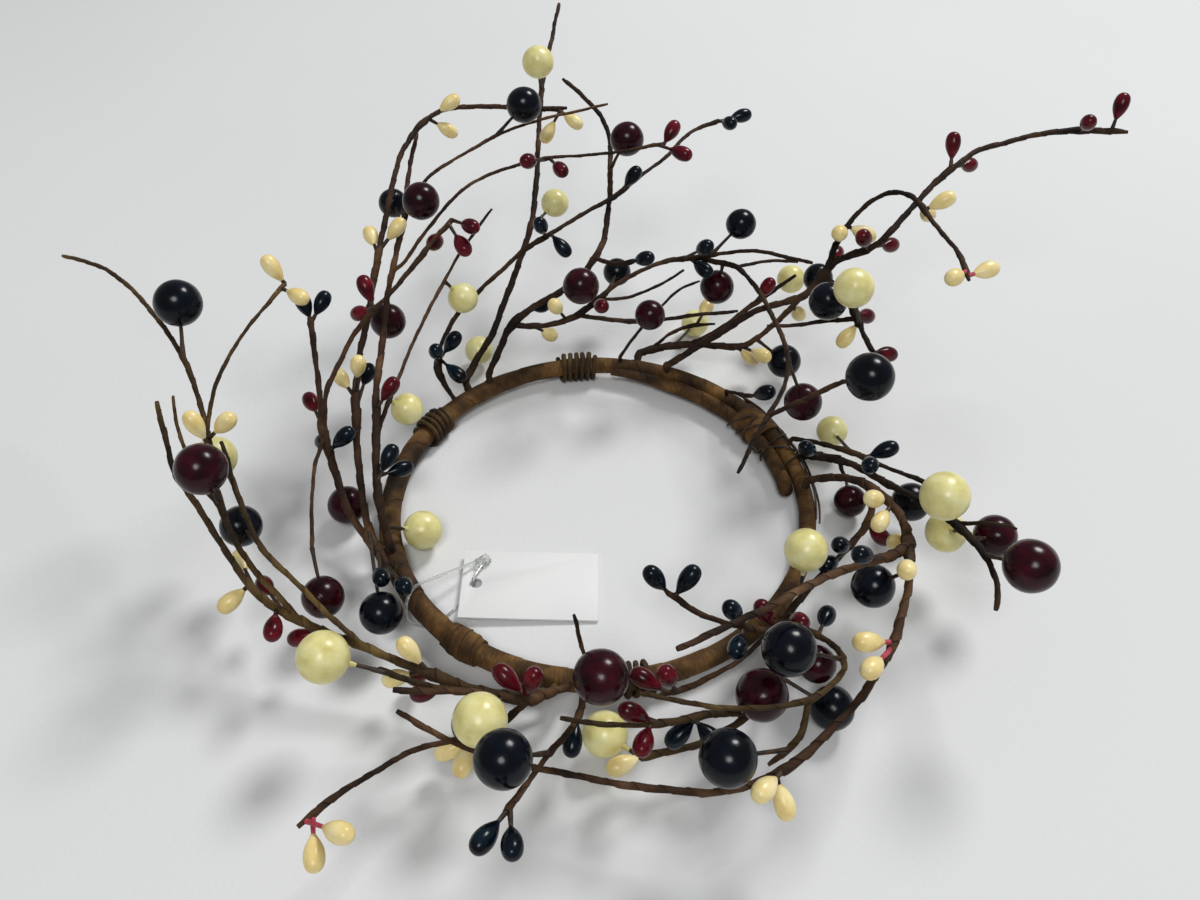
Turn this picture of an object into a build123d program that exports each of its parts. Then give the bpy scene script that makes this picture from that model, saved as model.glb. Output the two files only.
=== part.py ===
"""Candle ring: a taped wire hoop that carries sprays of lacquered berries and pips, with a hang tag.

Origin: centre of the ring on the surface that it lies on. +Z is up, and +Y points to the back.
"""

from build123d import *
import os
from math import atan2, ceil, cos, degrees, radians, sin, sqrt, tan

# Hoop
ring_radius = 53.0
tape_outer_radius = 3.1
hoop_wire_radius = 1.4
hoop_wire_clearance = 0.05
overlap_strand_radius = 2.2
overlap_strand_rise = 3.5
overlap_from_bearing = 2.0
overlap_to_bearing = 86.0

# Bindings round the hoop: wire windings, a tape collar and a tape band
binding_wire_diameter = 1.6
binding_pitch = 2.3
binding_clearance = 0.1
binding_start_angle = 60.0
flat_cut_depth = 0.5
back_binding_bearing = 97.0
back_binding_turns = 5
left_binding_bearing = 149.0
left_binding_turns = 4
front_binding_bearing = 279.0
front_binding_turns = 3
collar_bearing = 235.0
collar_arc = 10.0
band_bearing = 33.0
band_arc = 12.0
band_thickness = 1.2
gap_samples_per_turn = 24
next_turn_share = 0.75
quarters_per_turn = 4

# Stems, by name of thickness
stem_radii = {"thick": 1.25, "stem": 0.85, "twig": 0.65}
wire_radius = 0.4
bore_clearance = 0.05
seat_gap = 0.3
sample_step = 0.8
arc_run_share = 0.45
shallowest_across = 0.35
tip_along = 0.3
tip_samples = 4

# Berries and pips
berry_radii = {"large": 5.5, "medium": 4.9, "small": 4.2}
bore_depth_share = 0.6
pip_length = 7.2
pip_radius = 2.1
pip_neck_radius = 0.4
pip_tip_radius = 0.5
pip_widest_share = 0.55
pip_spacing = 1.6
least_neck = 0.5
tip_slope = 0.2
base_slope = 0.7

# Hang tag and its plastic loop
tag_bearing = 219.0
card_length = 33.0
card_width = 20.0
card_thickness = 0.6
card_underside = 1.5
card_hole_radius = 1.4
card_hole_inset = 3.5
card_slope_angle = 2.5
filament_radius = 0.35
loop_clearance = 0.45
loop_half_spread = 3.6
loop_crown_height = 1.9
loop_underrun = 2.4
hole_reach = 14.0
wrap_step = 42.0
wrap_first_angle = 75.0
wrap_corners = 6
lock_length = 3.4
lock_width = 2.4
lock_height = 1.6
lock_corner_radius = 0.4
lock_reach = 19.2
lock_aside = 3.2

# The height that the rise shares below are taken of
rise_unit = 100.0

# One overrun for every cut
overrun = 1.0

# The viewpoint of the picture that the sprays are traced from, 1200 by 900 pixels
view_elevation = 45.5
view_distance_share = 4.838
view_field_angle = 61.93
frame_centre_pixel = (600.0, 450.0)
ring_centre_pixel = (598.8, 500.6)
right_angle = 90.0
full_turn = 360.0

# Height of the hoop's centre line over the surface
binding_reach = tape_outer_radius + binding_clearance + binding_wire_diameter
ring_rise = binding_reach - flat_cut_depth

# Each spray: its stems, berries and pips. A place is a pixel column, a pixel row and a rise share.
# A stem: (parent stem or None for the hoop, thickness, places from root to tip).
# A berry: (colour, size, place, stem that carries it, pixel where its wire leaves the stem).
# A group of pips: (colour, stem that carries it, pixel where it leaves the stem, places of the pips).
spray_pixels_and_shares = {
    "left_sweep": {
        "stems": {
            "main": (None, "thick", [
                (548, 706, 0.07), (487, 695, 0.10), (430, 674, 0.12), (365, 648, 0.14), (300, 622, 0.17),
                (255, 594, 0.20), (224, 548, 0.25), (200, 510, 0.29), (178, 480, 0.32), (165, 440, 0.35),
                (157, 402, 0.38),
            ]),
            "arch": ("main", "stem", [
                (300, 622, 0.17), (262, 580, 0.24), (236, 545, 0.30), (221, 510, 0.35), (213, 470, 0.40),
                (207, 432, 0.43), (196, 385, 0.47), (180, 350, 0.49), (160, 322, 0.50), (130, 285, 0.50),
                (97, 264, 0.48), (63, 256, 0.46),
            ]),
            "fork": ("arch", "twig", [
                (207, 432, 0.43), (214, 388, 0.47), (234, 345, 0.50), (262, 310, 0.52), (285, 284, 0.53),
            ]),
            "third": ("main", "stem", [
                (365, 648, 0.14), (325, 612, 0.20), (290, 578, 0.25), (258, 545, 0.30), (240, 505, 0.34),
                (229, 465, 0.38), (221, 442, 0.40),
            ]),
            "stub": ("arch", "twig", [
                (221, 512, 0.35), (200, 486, 0.38), (187, 458, 0.40), (178, 430, 0.42), (173, 396, 0.46),
            ]),
            "low": ("main", "stem", [
                (487, 695, 0.10), (440, 690, 0.15), (408, 681, 0.18), (378, 668, 0.20),
            ]),
        },
        "berries": [
            ("navy", "large", (178, 303, 0.56), "arch", (183, 358)),
            ("burgundy", "large", (201, 469, 0.47), "arch", (219, 505)),
            ("cream", "medium", (216, 457, 0.31), "third", (235, 487)),
            ("navy", "medium", (241, 526, 0.20), "third", (262, 549)),
            ("cream", "large", (323, 657, 0.24), "low", (392, 674)),
        ],
        "pips": [
            ("cream", "arch", (209, 446), [(200, 432, 0.45), (225, 423, 0.47)]),
            ("cream", "fork", (283, 286), [(275, 271, 0.56), (298, 296, 0.53)]),
            ("cream", "main", (252, 592), [(241, 561, 0.18), (231, 601, 0.19)]),
            ("burgundy", "main", (282, 612), [(265, 586, 0.15), (274, 624, 0.19)]),
            ("burgundy", "main", (322, 631), [(301, 637, 0.13)]),
            ("cream", "main", (430, 674), [(411, 652, 0.16), (400, 677, 0.10)]),
            ("burgundy", "low", (445, 690), [(430, 692, 0.13)]),
            ("burgundy", "main", (434, 676), [(417, 677, 0.06)]),
        ],
    },
    "left_outer": {
        "stems": {
            "main": (None, "thick", [
                (362, 548, 0.08), (346, 508, 0.12), (334, 468, 0.18), (322, 433, 0.24), (321, 395, 0.29),
                (315, 356, 0.34), (310, 318, 0.39),
            ]),
            "leaning": ("main", "stem", [
                (322, 430, 0.24), (326, 392, 0.32), (338, 366, 0.35), (351, 338, 0.38), (367, 317, 0.42),
                (390, 294, 0.46), (420, 257, 0.50), (437, 236, 0.53), (452, 220, 0.54),
            ]),
            "hanging": ("main", "twig", [
                (322, 437, 0.24), (314, 464, 0.23), (312, 510, 0.20), (312, 548, 0.18),
            ]),
        },
        "berries": [
            ("burgundy", "medium", (347, 505, 0.06), "main", (343, 483)),
            ("burgundy", "medium", (323, 597, 0.12), "hanging", (312, 545)),
        ],
        "pips": [
            ("navy", "main", (311, 322), [(304, 304, 0.41), (322, 302, 0.41)]),
            ("burgundy", "main", (319, 425), [(311, 402, 0.25)]),
            ("navy", "main", (332, 452), [(343, 438, 0.24), (323, 442, 0.16)]),
            ("burgundy", "leaning", (374, 311), [(366, 288, 0.47), (360, 313, 0.38)]),
            ("burgundy", "leaning", (425, 251), [(434, 243, 0.49)]),
            ("burgundy", "leaning", (447, 226), [(470, 226, 0.56), (462, 245, 0.52)]),
        ],
    },
    "left_inner": {
        "stems": {
            "main": (None, "thick", [
                (384, 530, 0.15), (377, 500, 0.18), (376, 460, 0.21), (376, 420, 0.25), (377, 384, 0.28),
                (381, 345, 0.32), (388, 290, 0.37), (396, 253, 0.41), (404, 225, 0.44), (408, 180, 0.48),
                (414, 145, 0.51), (417, 134, 0.52),
            ]),
            "bower": (None, "thick", [
                (382, 562, 0.09), (368, 530, 0.12), (360, 490, 0.15), (357, 440, 0.20), (355, 400, 0.24),
                (359, 352, 0.29), (366, 325, 0.33), (374, 280, 0.39), (380, 247, 0.44), (387, 210, 0.49),
                (394, 175, 0.53), (403, 148, 0.55), (422, 122, 0.57), (443, 109, 0.57), (473, 106, 0.57),
                (509, 108, 0.57), (567, 108, 0.56),
            ]),
            "reach": ("main", "twig", [
                (392, 272, 0.38), (404, 262, 0.42), (418, 241, 0.45), (443, 210, 0.49), (463, 189, 0.52),
                (494, 171, 0.54), (524, 163, 0.55), (560, 157, 0.56), (606, 153, 0.57), (644, 148, 0.57),
                (664, 144, 0.57),
            ]),
            "high": ("main", "twig", [
                (404, 225, 0.44), (413, 198, 0.51), (430, 174, 0.54), (458, 157, 0.56), (496, 135, 0.59),
                (522, 125, 0.60), (555, 116, 0.62), (608, 104, 0.65),
            ]),
            "back": ("main", "twig", [
                (376, 440, 0.23), (389, 401, 0.25), (409, 353, 0.28), (425, 318, 0.32), (437, 296, 0.34),
                (447, 276, 0.37), (460, 252, 0.40), (478, 228, 0.43), (492, 209, 0.46),
            ]),
        },
        "berries": [
            ("burgundy", "medium", (388, 321, 0.26), "main", (379, 352)),
            ("navy", "small", (393, 203, 0.40), "main", (403, 228)),
            ("burgundy", "medium", (421, 201, 0.57), "high", (412, 200)),
            ("cream", "small", (407, 409, 0.21), "back", (389, 400)),
            ("cream", "small", (463, 298, 0.30), "back", (445, 280)),
            ("navy", "medium", (524, 105, 0.67), "high", (496, 135)),
            ("cream", "medium", (423, 530, 0.06), "main", (384, 526)),
            ("navy", "medium", (381, 613, 0.12), "bower", (368, 530)),
        ],
        "pips": [
            ("cream", "bower", (424, 121), [(450, 103, 0.60), (448, 130, 0.53)]),
            ("cream", "bower", (556, 108), [(571, 119, 0.54), (548, 133, 0.50)]),
            ("burgundy", "reach", (545, 160), [(529, 161, 0.60), (560, 169, 0.56)]),
            ("burgundy", "reach", (660, 145), [(671, 132, 0.59), (681, 153, 0.57)]),
            ("cream", "bower", (381, 256), [(371, 236, 0.44), (396, 229, 0.47)]),
            ("burgundy", "main", (376, 408), [(390, 388, 0.30)]),
            ("cream", "bower", (355, 397), [(341, 378, 0.26), (358, 366, 0.34)]),
            ("navy", "bower", (356, 410), [(367, 374, 0.24)]),
            ("navy", "main", (376, 482), [(386, 463, 0.22), (401, 469, 0.18)]),
            ("navy", "bower", (377, 550), [(381, 576, 0.16)]),
            ("navy", "bower", (383, 563), [(403, 585, 0.16)]),
        ],
    },
    "back_left": {
        "stems": {
            "main": (None, "thick", [
                (463, 378, 0.09), (478, 355, 0.13), (494, 334, 0.17), (504, 302, 0.22), (515, 275, 0.27),
                (526, 243, 0.32), (533, 215, 0.37), (537, 178, 0.42), (539, 125, 0.47), (541, 84, 0.52),
                (551, 43, 0.56), (559, 4, 0.60),
            ]),
            "cross": (None, "stem", [
                (448, 389, 0.08), (436, 370, 0.13), (439, 345, 0.17), (458, 312, 0.22), (480, 291, 0.27),
                (500, 271, 0.33), (519, 254, 0.38), (536, 243, 0.40), (556, 230, 0.42), (578, 216, 0.43),
                (606, 202, 0.44), (629, 186, 0.46), (652, 167, 0.48), (670, 153, 0.49), (684, 138, 0.50),
                (700, 127, 0.51), (719, 121, 0.52),
            ]),
        },
        "berries": [
            ("cream", "medium", (538, 62, 0.62), "main", (541, 90)),
            ("cream", "small", (555, 203, 0.36), "main", (530, 229)),
            ("cream", "small", (479, 350, 0.06), "main", (470, 363)),
        ],
        "pips": [
            ("navy", "cross", (436, 362), [(452, 342, 0.20), (456, 373, 0.13)]),
            ("navy", "cross", (436, 366), [(436, 352, 0.22)]),
            ("navy", "cross", (545, 237), [(541, 226, 0.46), (556, 240, 0.40)]),
            ("navy", "cross", (621, 192), [(633, 176, 0.50)]),
            ("navy", "cross", (716, 122), [(729, 123, 0.55), (741, 116, 0.52)]),
        ],
    },
    "back_middle": {
        "stems": {
            "main": (None, "thick", [
                (484, 348, 0.18), (510, 324, 0.22), (536, 304, 0.25), (563, 291, 0.28), (586, 272, 0.32),
                (598, 253, 0.36), (604, 240, 0.38), (609, 204, 0.42), (611, 163, 0.46), (609, 132, 0.50),
                (600, 113, 0.53), (580, 94, 0.56), (563, 79, 0.58),
            ]),
            "low": ("main", "stem", [
                (510, 324, 0.22), (547, 327, 0.19), (578, 316, 0.21), (600, 299, 0.25), (616, 284, 0.27),
                (637, 273, 0.30), (662, 262, 0.32), (695, 257, 0.35), (748, 250, 0.40), (783, 255, 0.43),
                (812, 263, 0.46),
            ]),
            "under": ("low", "stem", [
                (578, 316, 0.21), (610, 320, 0.20), (634, 322, 0.20), (669, 319, 0.22), (700, 315, 0.24),
                (738, 311, 0.26),
            ]),
            "middle": ("low", "twig", [
                (600, 299, 0.25), (627, 298, 0.24), (662, 284, 0.27), (684, 270, 0.30),
            ]),
            "twig": ("main", "stem", [(597, 258, 0.35), (616, 264, 0.39), (634, 261, 0.41)]),
            "drop": ("low", "stem", [
                (697, 257, 0.35), (716, 262, 0.34), (738, 266, 0.34), (759, 289, 0.34), (776, 323, 0.36),
                (788, 349, 0.36), (789, 368, 0.36), (783, 392, 0.35), (766, 419, 0.33), (750, 448, 0.30),
                (738, 473, 0.28),
            ]),
            "side": ("drop", "twig", [(738, 266, 0.32), (770, 261, 0.34), (798, 262, 0.36)]),
            "spur": ("drop", "stem", [
                (768, 415, 0.33), (800, 402, 0.38), (826, 389, 0.42), (842, 382, 0.44),
            ]),
        },
        "berries": [
            ("burgundy", "medium", (581, 286, 0.39), "main", (583, 275)),
            ("navy", "small", (617, 272, 0.20), "low", (606, 293)),
            ("burgundy", "medium", (627, 139, 0.55), "main", (611, 168)),
            ("burgundy", "small", (650, 315, 0.28), "under", (634, 322)),
            ("burgundy", "medium", (717, 287, 0.26), "drop", (722, 263)),
            ("burgundy", "medium", (803, 402, 0.24), "drop", (789, 362)),
            ("navy", "small", (741, 224, 0.44), "low", (712, 255)),
            ("navy", "large", (870, 377, 0.50), "spur", (836, 385)),
        ],
        "pips": [
            ("navy", "twig", (628, 262), [(643, 259, 0.43)]),
            ("navy", "main", (522, 314), [(542, 306, 0.21)]),
            ("cream", "low", (535, 327), [(549, 334, 0.14)]),
            ("cream", "low", (566, 320), [(556, 307, 0.28)]),
            ("burgundy", "low", (592, 305), [(601, 306, 0.29)]),
            ("navy", "low", (684, 259), [(704, 248, 0.42), (702, 268, 0.34)]),
        ],
    },
    "back_right": {
        "stems": {
            "main": (None, "thick", [
                (640, 347, 0.08), (681, 344, 0.10), (715, 346, 0.11), (743, 347, 0.13), (760, 337, 0.16),
                (775, 324, 0.19), (792, 306, 0.23), (804, 295, 0.25),
            ]),
            "climb": (None, "twig", [
                (620, 358, 0.08), (638, 331, 0.12), (660, 308, 0.16), (677, 290, 0.20), (700, 281, 0.22),
            ]),
            "slant": ("main", "stem", [
                (688, 345, 0.10), (706, 337, 0.14), (730, 322, 0.19), (754, 303, 0.23), (781, 286, 0.28),
                (796, 275, 0.31),
            ]),
            "flat": ("main", "twig", [
                (650, 347, 0.08), (668, 334, 0.12), (690, 325, 0.15), (715, 324, 0.17),
            ]),
        },
        "berries": [
            ("navy", "medium", (784, 361, 0.08), "main", (757, 339)),
            ("cream", "small", (695, 323, 0.05), "main", (674, 344)),
            ("cream", "small", (791, 279, 0.21), "slant", (770, 293)),
        ],
        "pips": [
            ("cream", "main", (736, 348), [(749, 356, 0.09), (761, 355, 0.15)]),
            ("cream", "flat", (696, 325), [(706, 308, 0.16)]),
            ("burgundy", "slant", (755, 302), [(767, 287, 0.29)]),
            ("cream", "main", (792, 306), [(798, 313, 0.18)]),
        ],
    },
    "far_right": {
        "stems": {
            "main": (None, "thick", [
                (665, 356, 0.14), (712, 338, 0.21), (752, 312, 0.28), (785, 302, 0.33), (806, 296, 0.36),
                (822, 276, 0.40), (834, 261, 0.44), (855, 254, 0.48), (875, 246, 0.51), (889, 233, 0.54),
                (914, 207, 0.57), (933, 184, 0.59), (952, 168, 0.61), (977, 150, 0.63),
                (1021, 138, 0.65), (1059, 130, 0.67), (1128, 132, 0.69),
            ]),
            "hook": ("main", "stem", [
                (825, 272, 0.41), (836, 243, 0.49), (849, 222, 0.53), (868, 203, 0.57), (891, 191, 0.61),
                (911, 194, 0.64), (924, 209, 0.64), (938, 229, 0.64), (960, 253, 0.65), (969, 280, 0.65),
            ]),
            "bent": ("main", "stem", [
                (822, 276, 0.40), (846, 292, 0.38), (857, 318, 0.37), (866, 340, 0.37), (873, 352, 0.37),
            ]),
            "cut": ("bent", "stem", [
                (857, 318, 0.37), (840, 320, 0.34), (822, 321, 0.32), (789, 326, 0.30), (767, 326, 0.29),
            ]),
        },
        "berries": [
            ("navy", "small", (818, 278, 0.29), "main", (800, 298)),
            ("navy", "medium", (828, 301, 0.43), "bent", (846, 292)),
            ("cream", "medium", (854, 288, 0.53), "bent", (860, 325)),
        ],
        "pips": [
            ("cream", "hook", (843, 230), [(840, 233, 0.54), (858, 231, 0.51)]),
            ("burgundy", "main", (866, 250), [(864, 239, 0.55), (890, 245, 0.47)]),
            ("burgundy", "main", (826, 271), [(836, 254, 0.39)]),
            ("cream", "bent", (858, 322), [(849, 334, 0.34)]),
            ("burgundy", "bent", (857, 314), [(866, 316, 0.33)]),
            ("burgundy", "bent", (872, 350), [(880, 353, 0.36)]),
            ("burgundy", "main", (950, 170), [(953, 144, 0.66), (969, 165, 0.58)]),
            ("cream", "hook", (924, 209), [(943, 201, 0.66), (928, 214, 0.60)]),
            ("cream", "hook", (966, 272), [(955, 277, 0.67), (987, 270, 0.65)]),
            ("burgundy", "main", (1082, 130), [(1088, 123, 0.73)]),
            ("burgundy", "main", (1110, 131), [(1121, 105, 0.74)]),
        ],
    },
    "right": {
        "stems": {
            "main": (None, "thick", [
                (817, 449, 0.08), (840, 459, 0.10), (865, 470, 0.13), (893, 487, 0.17), (925, 503, 0.21),
                (955, 522, 0.25), (978, 546, 0.28), (990, 562, 0.29), (998, 585, 0.29), (996, 610, 0.28),
            ]),
            "upper": (None, "stem", [
                (800, 431, 0.10), (832, 446, 0.14), (862, 456, 0.18), (890, 470, 0.22), (915, 479, 0.25),
                (930, 485, 0.27),
            ]),
            "tip": ("main", "twig", [(955, 522, 0.25), (985, 521, 0.30), (1017, 529, 0.32)]),
            "inner": ("main", "twig", [(840, 459, 0.10), (842, 470, 0.07), (846, 478, 0.06)]),
            "bud": (None, "twig", [(726, 391, 0.08), (739, 394, 0.12), (751, 396, 0.16)]),
        },
        "berries": [
            ("cream", "small", (832, 431, 0.08), "upper", (850, 452)),
            ("burgundy", "small", (850, 501, 0.05), "inner", (846, 477)),
            ("navy", "medium", (911, 502, 0.10), "main", (890, 486)),
            ("cream", "large", (945, 496, 0.34), "upper", (926, 484)),
            ("cream", "medium", (946, 532, 0.16), "main", (962, 529)),
            ("burgundy", "medium", (995, 536, 0.22), "main", (972, 540)),
            ("burgundy", "large", (1031, 566, 0.40), "main", (985, 556)),
        ],
        "pips": [
            ("navy", "bud", (751, 396), [(764, 393, 0.19)]),
            ("navy", "upper", (864, 457), [(883, 451, 0.20), (870, 464, 0.22)]),
            ("navy", "main", (822, 451), [(808, 449, 0.13)]),
        ],
    },
    "front_right": {
        "stems": {
            "main": (None, "thick", [
                (812, 466, 0.14), (842, 476, 0.18), (868, 485, 0.22), (885, 497, 0.24), (899, 514, 0.25),
                (908, 534, 0.26), (910, 560, 0.28), (909, 587, 0.29), (903, 613, 0.29), (895, 642, 0.28),
                (881, 668, 0.27), (856, 703, 0.26), (819, 743, 0.24), (785, 771, 0.22), (744, 788, 0.20),
                (713, 793, 0.18), (638, 787, 0.17), (580, 778, 0.16), (521, 764, 0.15), (489, 756, 0.15),
                (460, 745, 0.16), (430, 731, 0.18), (397, 711, 0.19),
            ]),
            "bough": ("main", "thick", [
                (909, 543, 0.27), (893, 556, 0.31), (873, 561, 0.33), (840, 570, 0.35), (804, 588, 0.38),
                (778, 603, 0.40), (715, 634, 0.42), (677, 649, 0.43),
            ]),
            "fall": ("main", "stem", [
                (868, 485, 0.22), (873, 507, 0.18), (866, 528, 0.15), (847, 550, 0.13), (824, 572, 0.12),
                (797, 602, 0.12), (772, 632, 0.12), (735, 664, 0.12), (690, 688, 0.12), (655, 697, 0.13),
            ]),
            "spur": ("fall", "stem", [
                (772, 632, 0.12), (752, 630, 0.17), (733, 625, 0.20), (715, 619, 0.22), (696, 611, 0.24),
                (668, 593, 0.27),
            ]),
        },
        "berries": [
            ("cream", "medium", (806, 550, 0.24), "fall", (800, 598)),
            ("navy", "medium", (873, 586, 0.20), "main", (909, 570)),
        ],
        "pips": [
            ("navy", "fall", (852, 545), [(841, 545, 0.19), (829, 564, 0.16)]),
            ("navy", "bough", (885, 558), [(863, 555, 0.39)]),
            ("burgundy", "fall", (867, 526), [(880, 536, 0.12)]),
            ("burgundy", "fall", (788, 613), [(799, 621, 0.17)]),
            ("burgundy", "fall", (676, 692), [(668, 677, 0.19), (648, 681, 0.14)]),
            ("burgundy", "fall", (775, 629), [(767, 616, 0.15)]),
            ("cream", "main", (909, 540), [(897, 542, 0.20)]),
            ("cream", "main", (889, 501), [(875, 499, 0.28), (881, 521, 0.25)]),
            ("cream", "main", (910, 555), [(907, 569, 0.33)]),
            ("cream", "main", (895, 641), [(869, 642, 0.30), (873, 667, 0.31)]),
            ("cream", "main", (784, 772), [(766, 788, 0.24), (784, 803, 0.18)]),
            ("navy", "spur", (748, 629), [(733, 611, 0.25), (738, 646, 0.20)]),
            ("navy", "spur", (671, 595), [(655, 578, 0.31), (685, 583, 0.29)]),
        ],
    },
    "front": {
        "stems": {
            "main": (None, "thick", [
                (803, 648, 0.07), (780, 685, 0.08), (744, 719, 0.09), (701, 745, 0.09), (667, 752, 0.09),
                (640, 757, 0.09),
            ]),
            "round": (None, "stem", [
                (812, 633, 0.06), (837, 646, 0.18), (846, 669, 0.24), (833, 684, 0.25), (812, 699, 0.27),
                (770, 709, 0.29), (722, 708, 0.29), (675, 701, 0.28), (640, 693, 0.27),
            ]),
            "drop": ("round", "stem", [
                (808, 701, 0.27), (806, 722, 0.25), (800, 738, 0.24), (787, 750, 0.22), (768, 765, 0.20),
            ]),
            "cross": ("main", "stem", [
                (750, 714, 0.09), (724, 713, 0.15), (703, 715, 0.17), (684, 720, 0.18), (655, 724, 0.18),
                (600, 724, 0.17), (560, 718, 0.18),
            ]),
        },
        "berries": [
            ("navy", "large", (789, 649, 0.31), "round", (842, 660)),
            ("burgundy", "small", (817, 664, 0.11), "main", (788, 671)),
            ("navy", "medium", (832, 708, 0.06), "main", (785, 678)),
            ("burgundy", "large", (762, 695, 0.18), "main", (785, 678)),
            ("navy", "large", (728, 758, 0.28), "drop", (787, 750)),
            ("cream", "medium", (605, 734, 0.08), "main", (648, 755)),
        ],
        "pips": [
            ("navy", "round", (818, 636), [(826, 617, 0.10)]),
            ("burgundy", "cross", (660, 724), [(636, 714, 0.21), (644, 742, 0.19)]),
            ("navy", "cross", (700, 716), [(679, 735, 0.14), (705, 731, 0.16)]),
            ("cream", "main", (641, 757), [(624, 764, 0.09)]),
        ],
    },
    "front_left": {
        "stems": {
            "main": (None, "thick", [
                (560, 700, 0.13), (528, 702, 0.16), (496, 696, 0.18), (473, 691, 0.20), (430, 691, 0.22),
                (405, 690, 0.23), (393, 690, 0.23),
            ]),
            "tail": (None, "stem", [
                (584, 693, 0.11), (580, 715, 0.13), (567, 735, 0.17), (546, 756, 0.21), (529, 781, 0.24),
                (506, 812, 0.29),
            ]),
            "far": ("main", "stem", [
                (528, 702, 0.16), (505, 722, 0.13), (480, 736, 0.11), (446, 741, 0.12), (413, 749, 0.15),
                (380, 768, 0.20), (335, 796, 0.22), (298, 827, 0.23),
            ]),
            "prong": (None, "twig", [
                (600, 690, 0.12), (588, 664, 0.24), (580, 642, 0.32), (574, 615, 0.40),
            ]),
        },
        "berries": [
            ("burgundy", "large", (601, 677, 0.31), "prong", (586, 660)),
            ("cream", "large", (480, 720, 0.22), "main", (505, 698)),
            ("navy", "large", (503, 759, 0.31), "tail", (550, 752)),
            ("navy", "medium", (474, 724, 0.06), "far", (490, 731)),
        ],
        "pips": [
            ("burgundy", "main", (528, 702), [(507, 678, 0.18), (530, 684, 0.20)]),
            ("cream", "far", (476, 736), [(450, 749, 0.08), (464, 759, 0.11)]),
            ("navy", "tail", (580, 715), [(573, 742, 0.11)]),
            ("navy", "tail", (508, 809), [(485, 838, 0.30), (512, 844, 0.31)]),
            ("cream", "far", (312, 817), [(314, 855, 0.22), (338, 832, 0.26)]),
        ],
    },
}


def seen_from_above(elevation):
    """Returns the directions in, up and right of the viewpoint."""
    tilt = radians(elevation)
    return Vector(0, cos(tilt), -sin(tilt)), Vector(0, sin(tilt), cos(tilt)), Vector(1, 0, 0)


view_in, view_up, view_right = seen_from_above(view_elevation)
view_distance = ring_radius * view_distance_share
focal_pixels = frame_centre_pixel[0] / tan(radians(view_field_angle / 2))


def view_ray(pixel):
    """Returns the ray through a pixel, one unit deep along the view."""
    across = (pixel[0] - frame_centre_pixel[0]) / focal_pixels
    up = (frame_centre_pixel[1] - pixel[1]) / focal_pixels
    return view_in + view_right * across + view_up * up


viewpoint = Vector(0, 0, ring_rise) - view_ray(ring_centre_pixel) * view_distance


def place(spot):
    """Returns the point that a pixel shows at a rise, given as (column, row, rise share)."""
    ray = view_ray(spot)
    return viewpoint + ray * ((spot[2] * rise_unit - viewpoint.Z) / ray.Z)


def pixel_of(point):
    """Returns the column and row at which a point is seen."""
    arm = point - viewpoint
    depth = arm.dot(view_in)
    column = frame_centre_pixel[0] + focal_pixels * arm.dot(view_right) / depth
    return column, frame_centre_pixel[1] - focal_pixels * arm.dot(view_up) / depth


def on_hoop(bearing, radius=ring_radius, rise=ring_rise):
    """Returns the point of a circle about the ring's axis at a bearing in degrees."""
    return Vector(radius * cos(radians(bearing)), radius * sin(radians(bearing)), rise)


def gentle_radii(points):
    """Returns a radius for each corner, as large as its two runs allow."""
    radii = []
    for before, corner, after in zip(points, points[1:], points[2:]):
        turn = radians((corner - before).get_angle(after - corner))
        run = min((corner - before).length, (after - corner).length)
        radii.append(run * arc_run_share / tan(turn / 2))
    return radii


class Stem:
    """A stem's route, its radius and the samples that its berries and pips are hung from."""

    def __init__(self, points, radius):
        self.points = points
        self.radius = radius
        with BuildLine() as line:
            FilletPolyline(*points, radius=gentle_radii(points))
        self.route = line.wire()
        count = ceil(self.route.length / sample_step)
        self.step = self.route.length / count
        self.samples = [self.route @ (i / count) for i in range(count + 1)]
        self.headings = [self.route % (i / count) for i in range(count + 1)]

    def nearest(self, pixel):
        """Returns the number of the sample that is seen nearest to a pixel, or the tip's if it is near."""

        def miss(i):
            column, row = pixel_of(self.samples[i])
            return (column - pixel[0]) ** 2 + (row - pixel[1]) ** 2

        last = len(self.samples) - 1
        sample = min(range(last + 1), key=miss)
        return last if sample > last - tip_samples else sample

    def seat(self, i, towards, radius):
        """Returns where a thin rod that leaves sample i towards a point starts, and its heading."""
        heading = (towards - self.samples[i]).normalized()
        along = heading.dot(self.headings[i])
        across = max(sqrt(max(1 - along * along, 0)), shallowest_across)
        out = (self.radius + seat_gap + radius * abs(along)) / across
        to_tip = (len(self.samples) - 1 - i) * self.step
        if along > tip_along:
            out = min(out, (to_tip + seat_gap + radius * across) / along)
        return self.samples[i] + heading * out, heading

    def pip_sample(self, root, i):
        """Returns the sample that the i-th pip of a group leaves, stepped along the stem."""
        last = len(self.samples) - 1
        step = round(pip_spacing / sample_step) * i
        sample = root + step if root + step <= last else root - step
        return last if sample >= last - 1 else sample


def hoop_seat(point, radius):
    """Returns the point beside the hoop's tape where a stem of a radius starts towards a point."""
    core = on_hoop(degrees(atan2(point.Y, point.X)))
    return core + (point - core).normalized() * (tape_outer_radius + seat_gap + radius)


def trace_stems(table):
    """Returns the stems of one spray, by name."""
    stems = {}
    for name, (parent, thickness, spots) in table.items():
        points = [place(spot) for spot in spots]
        radius = stem_radii[thickness]
        if parent is None:
            points[0] = hoop_seat(points[0], radius)
        else:
            fork = stems[parent].nearest(spots[0])
            points[0] = stems[parent].seat(fork, points[1], radius)[0]
        stems[name] = Stem(points, radius)
    return stems


def facing(origin, heading):
    """Returns the plane at a point that faces a heading."""
    return Plane(origin=origin, z_dir=heading)


# Hoop: a steel wire hoop in a sleeve of paper tape

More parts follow.
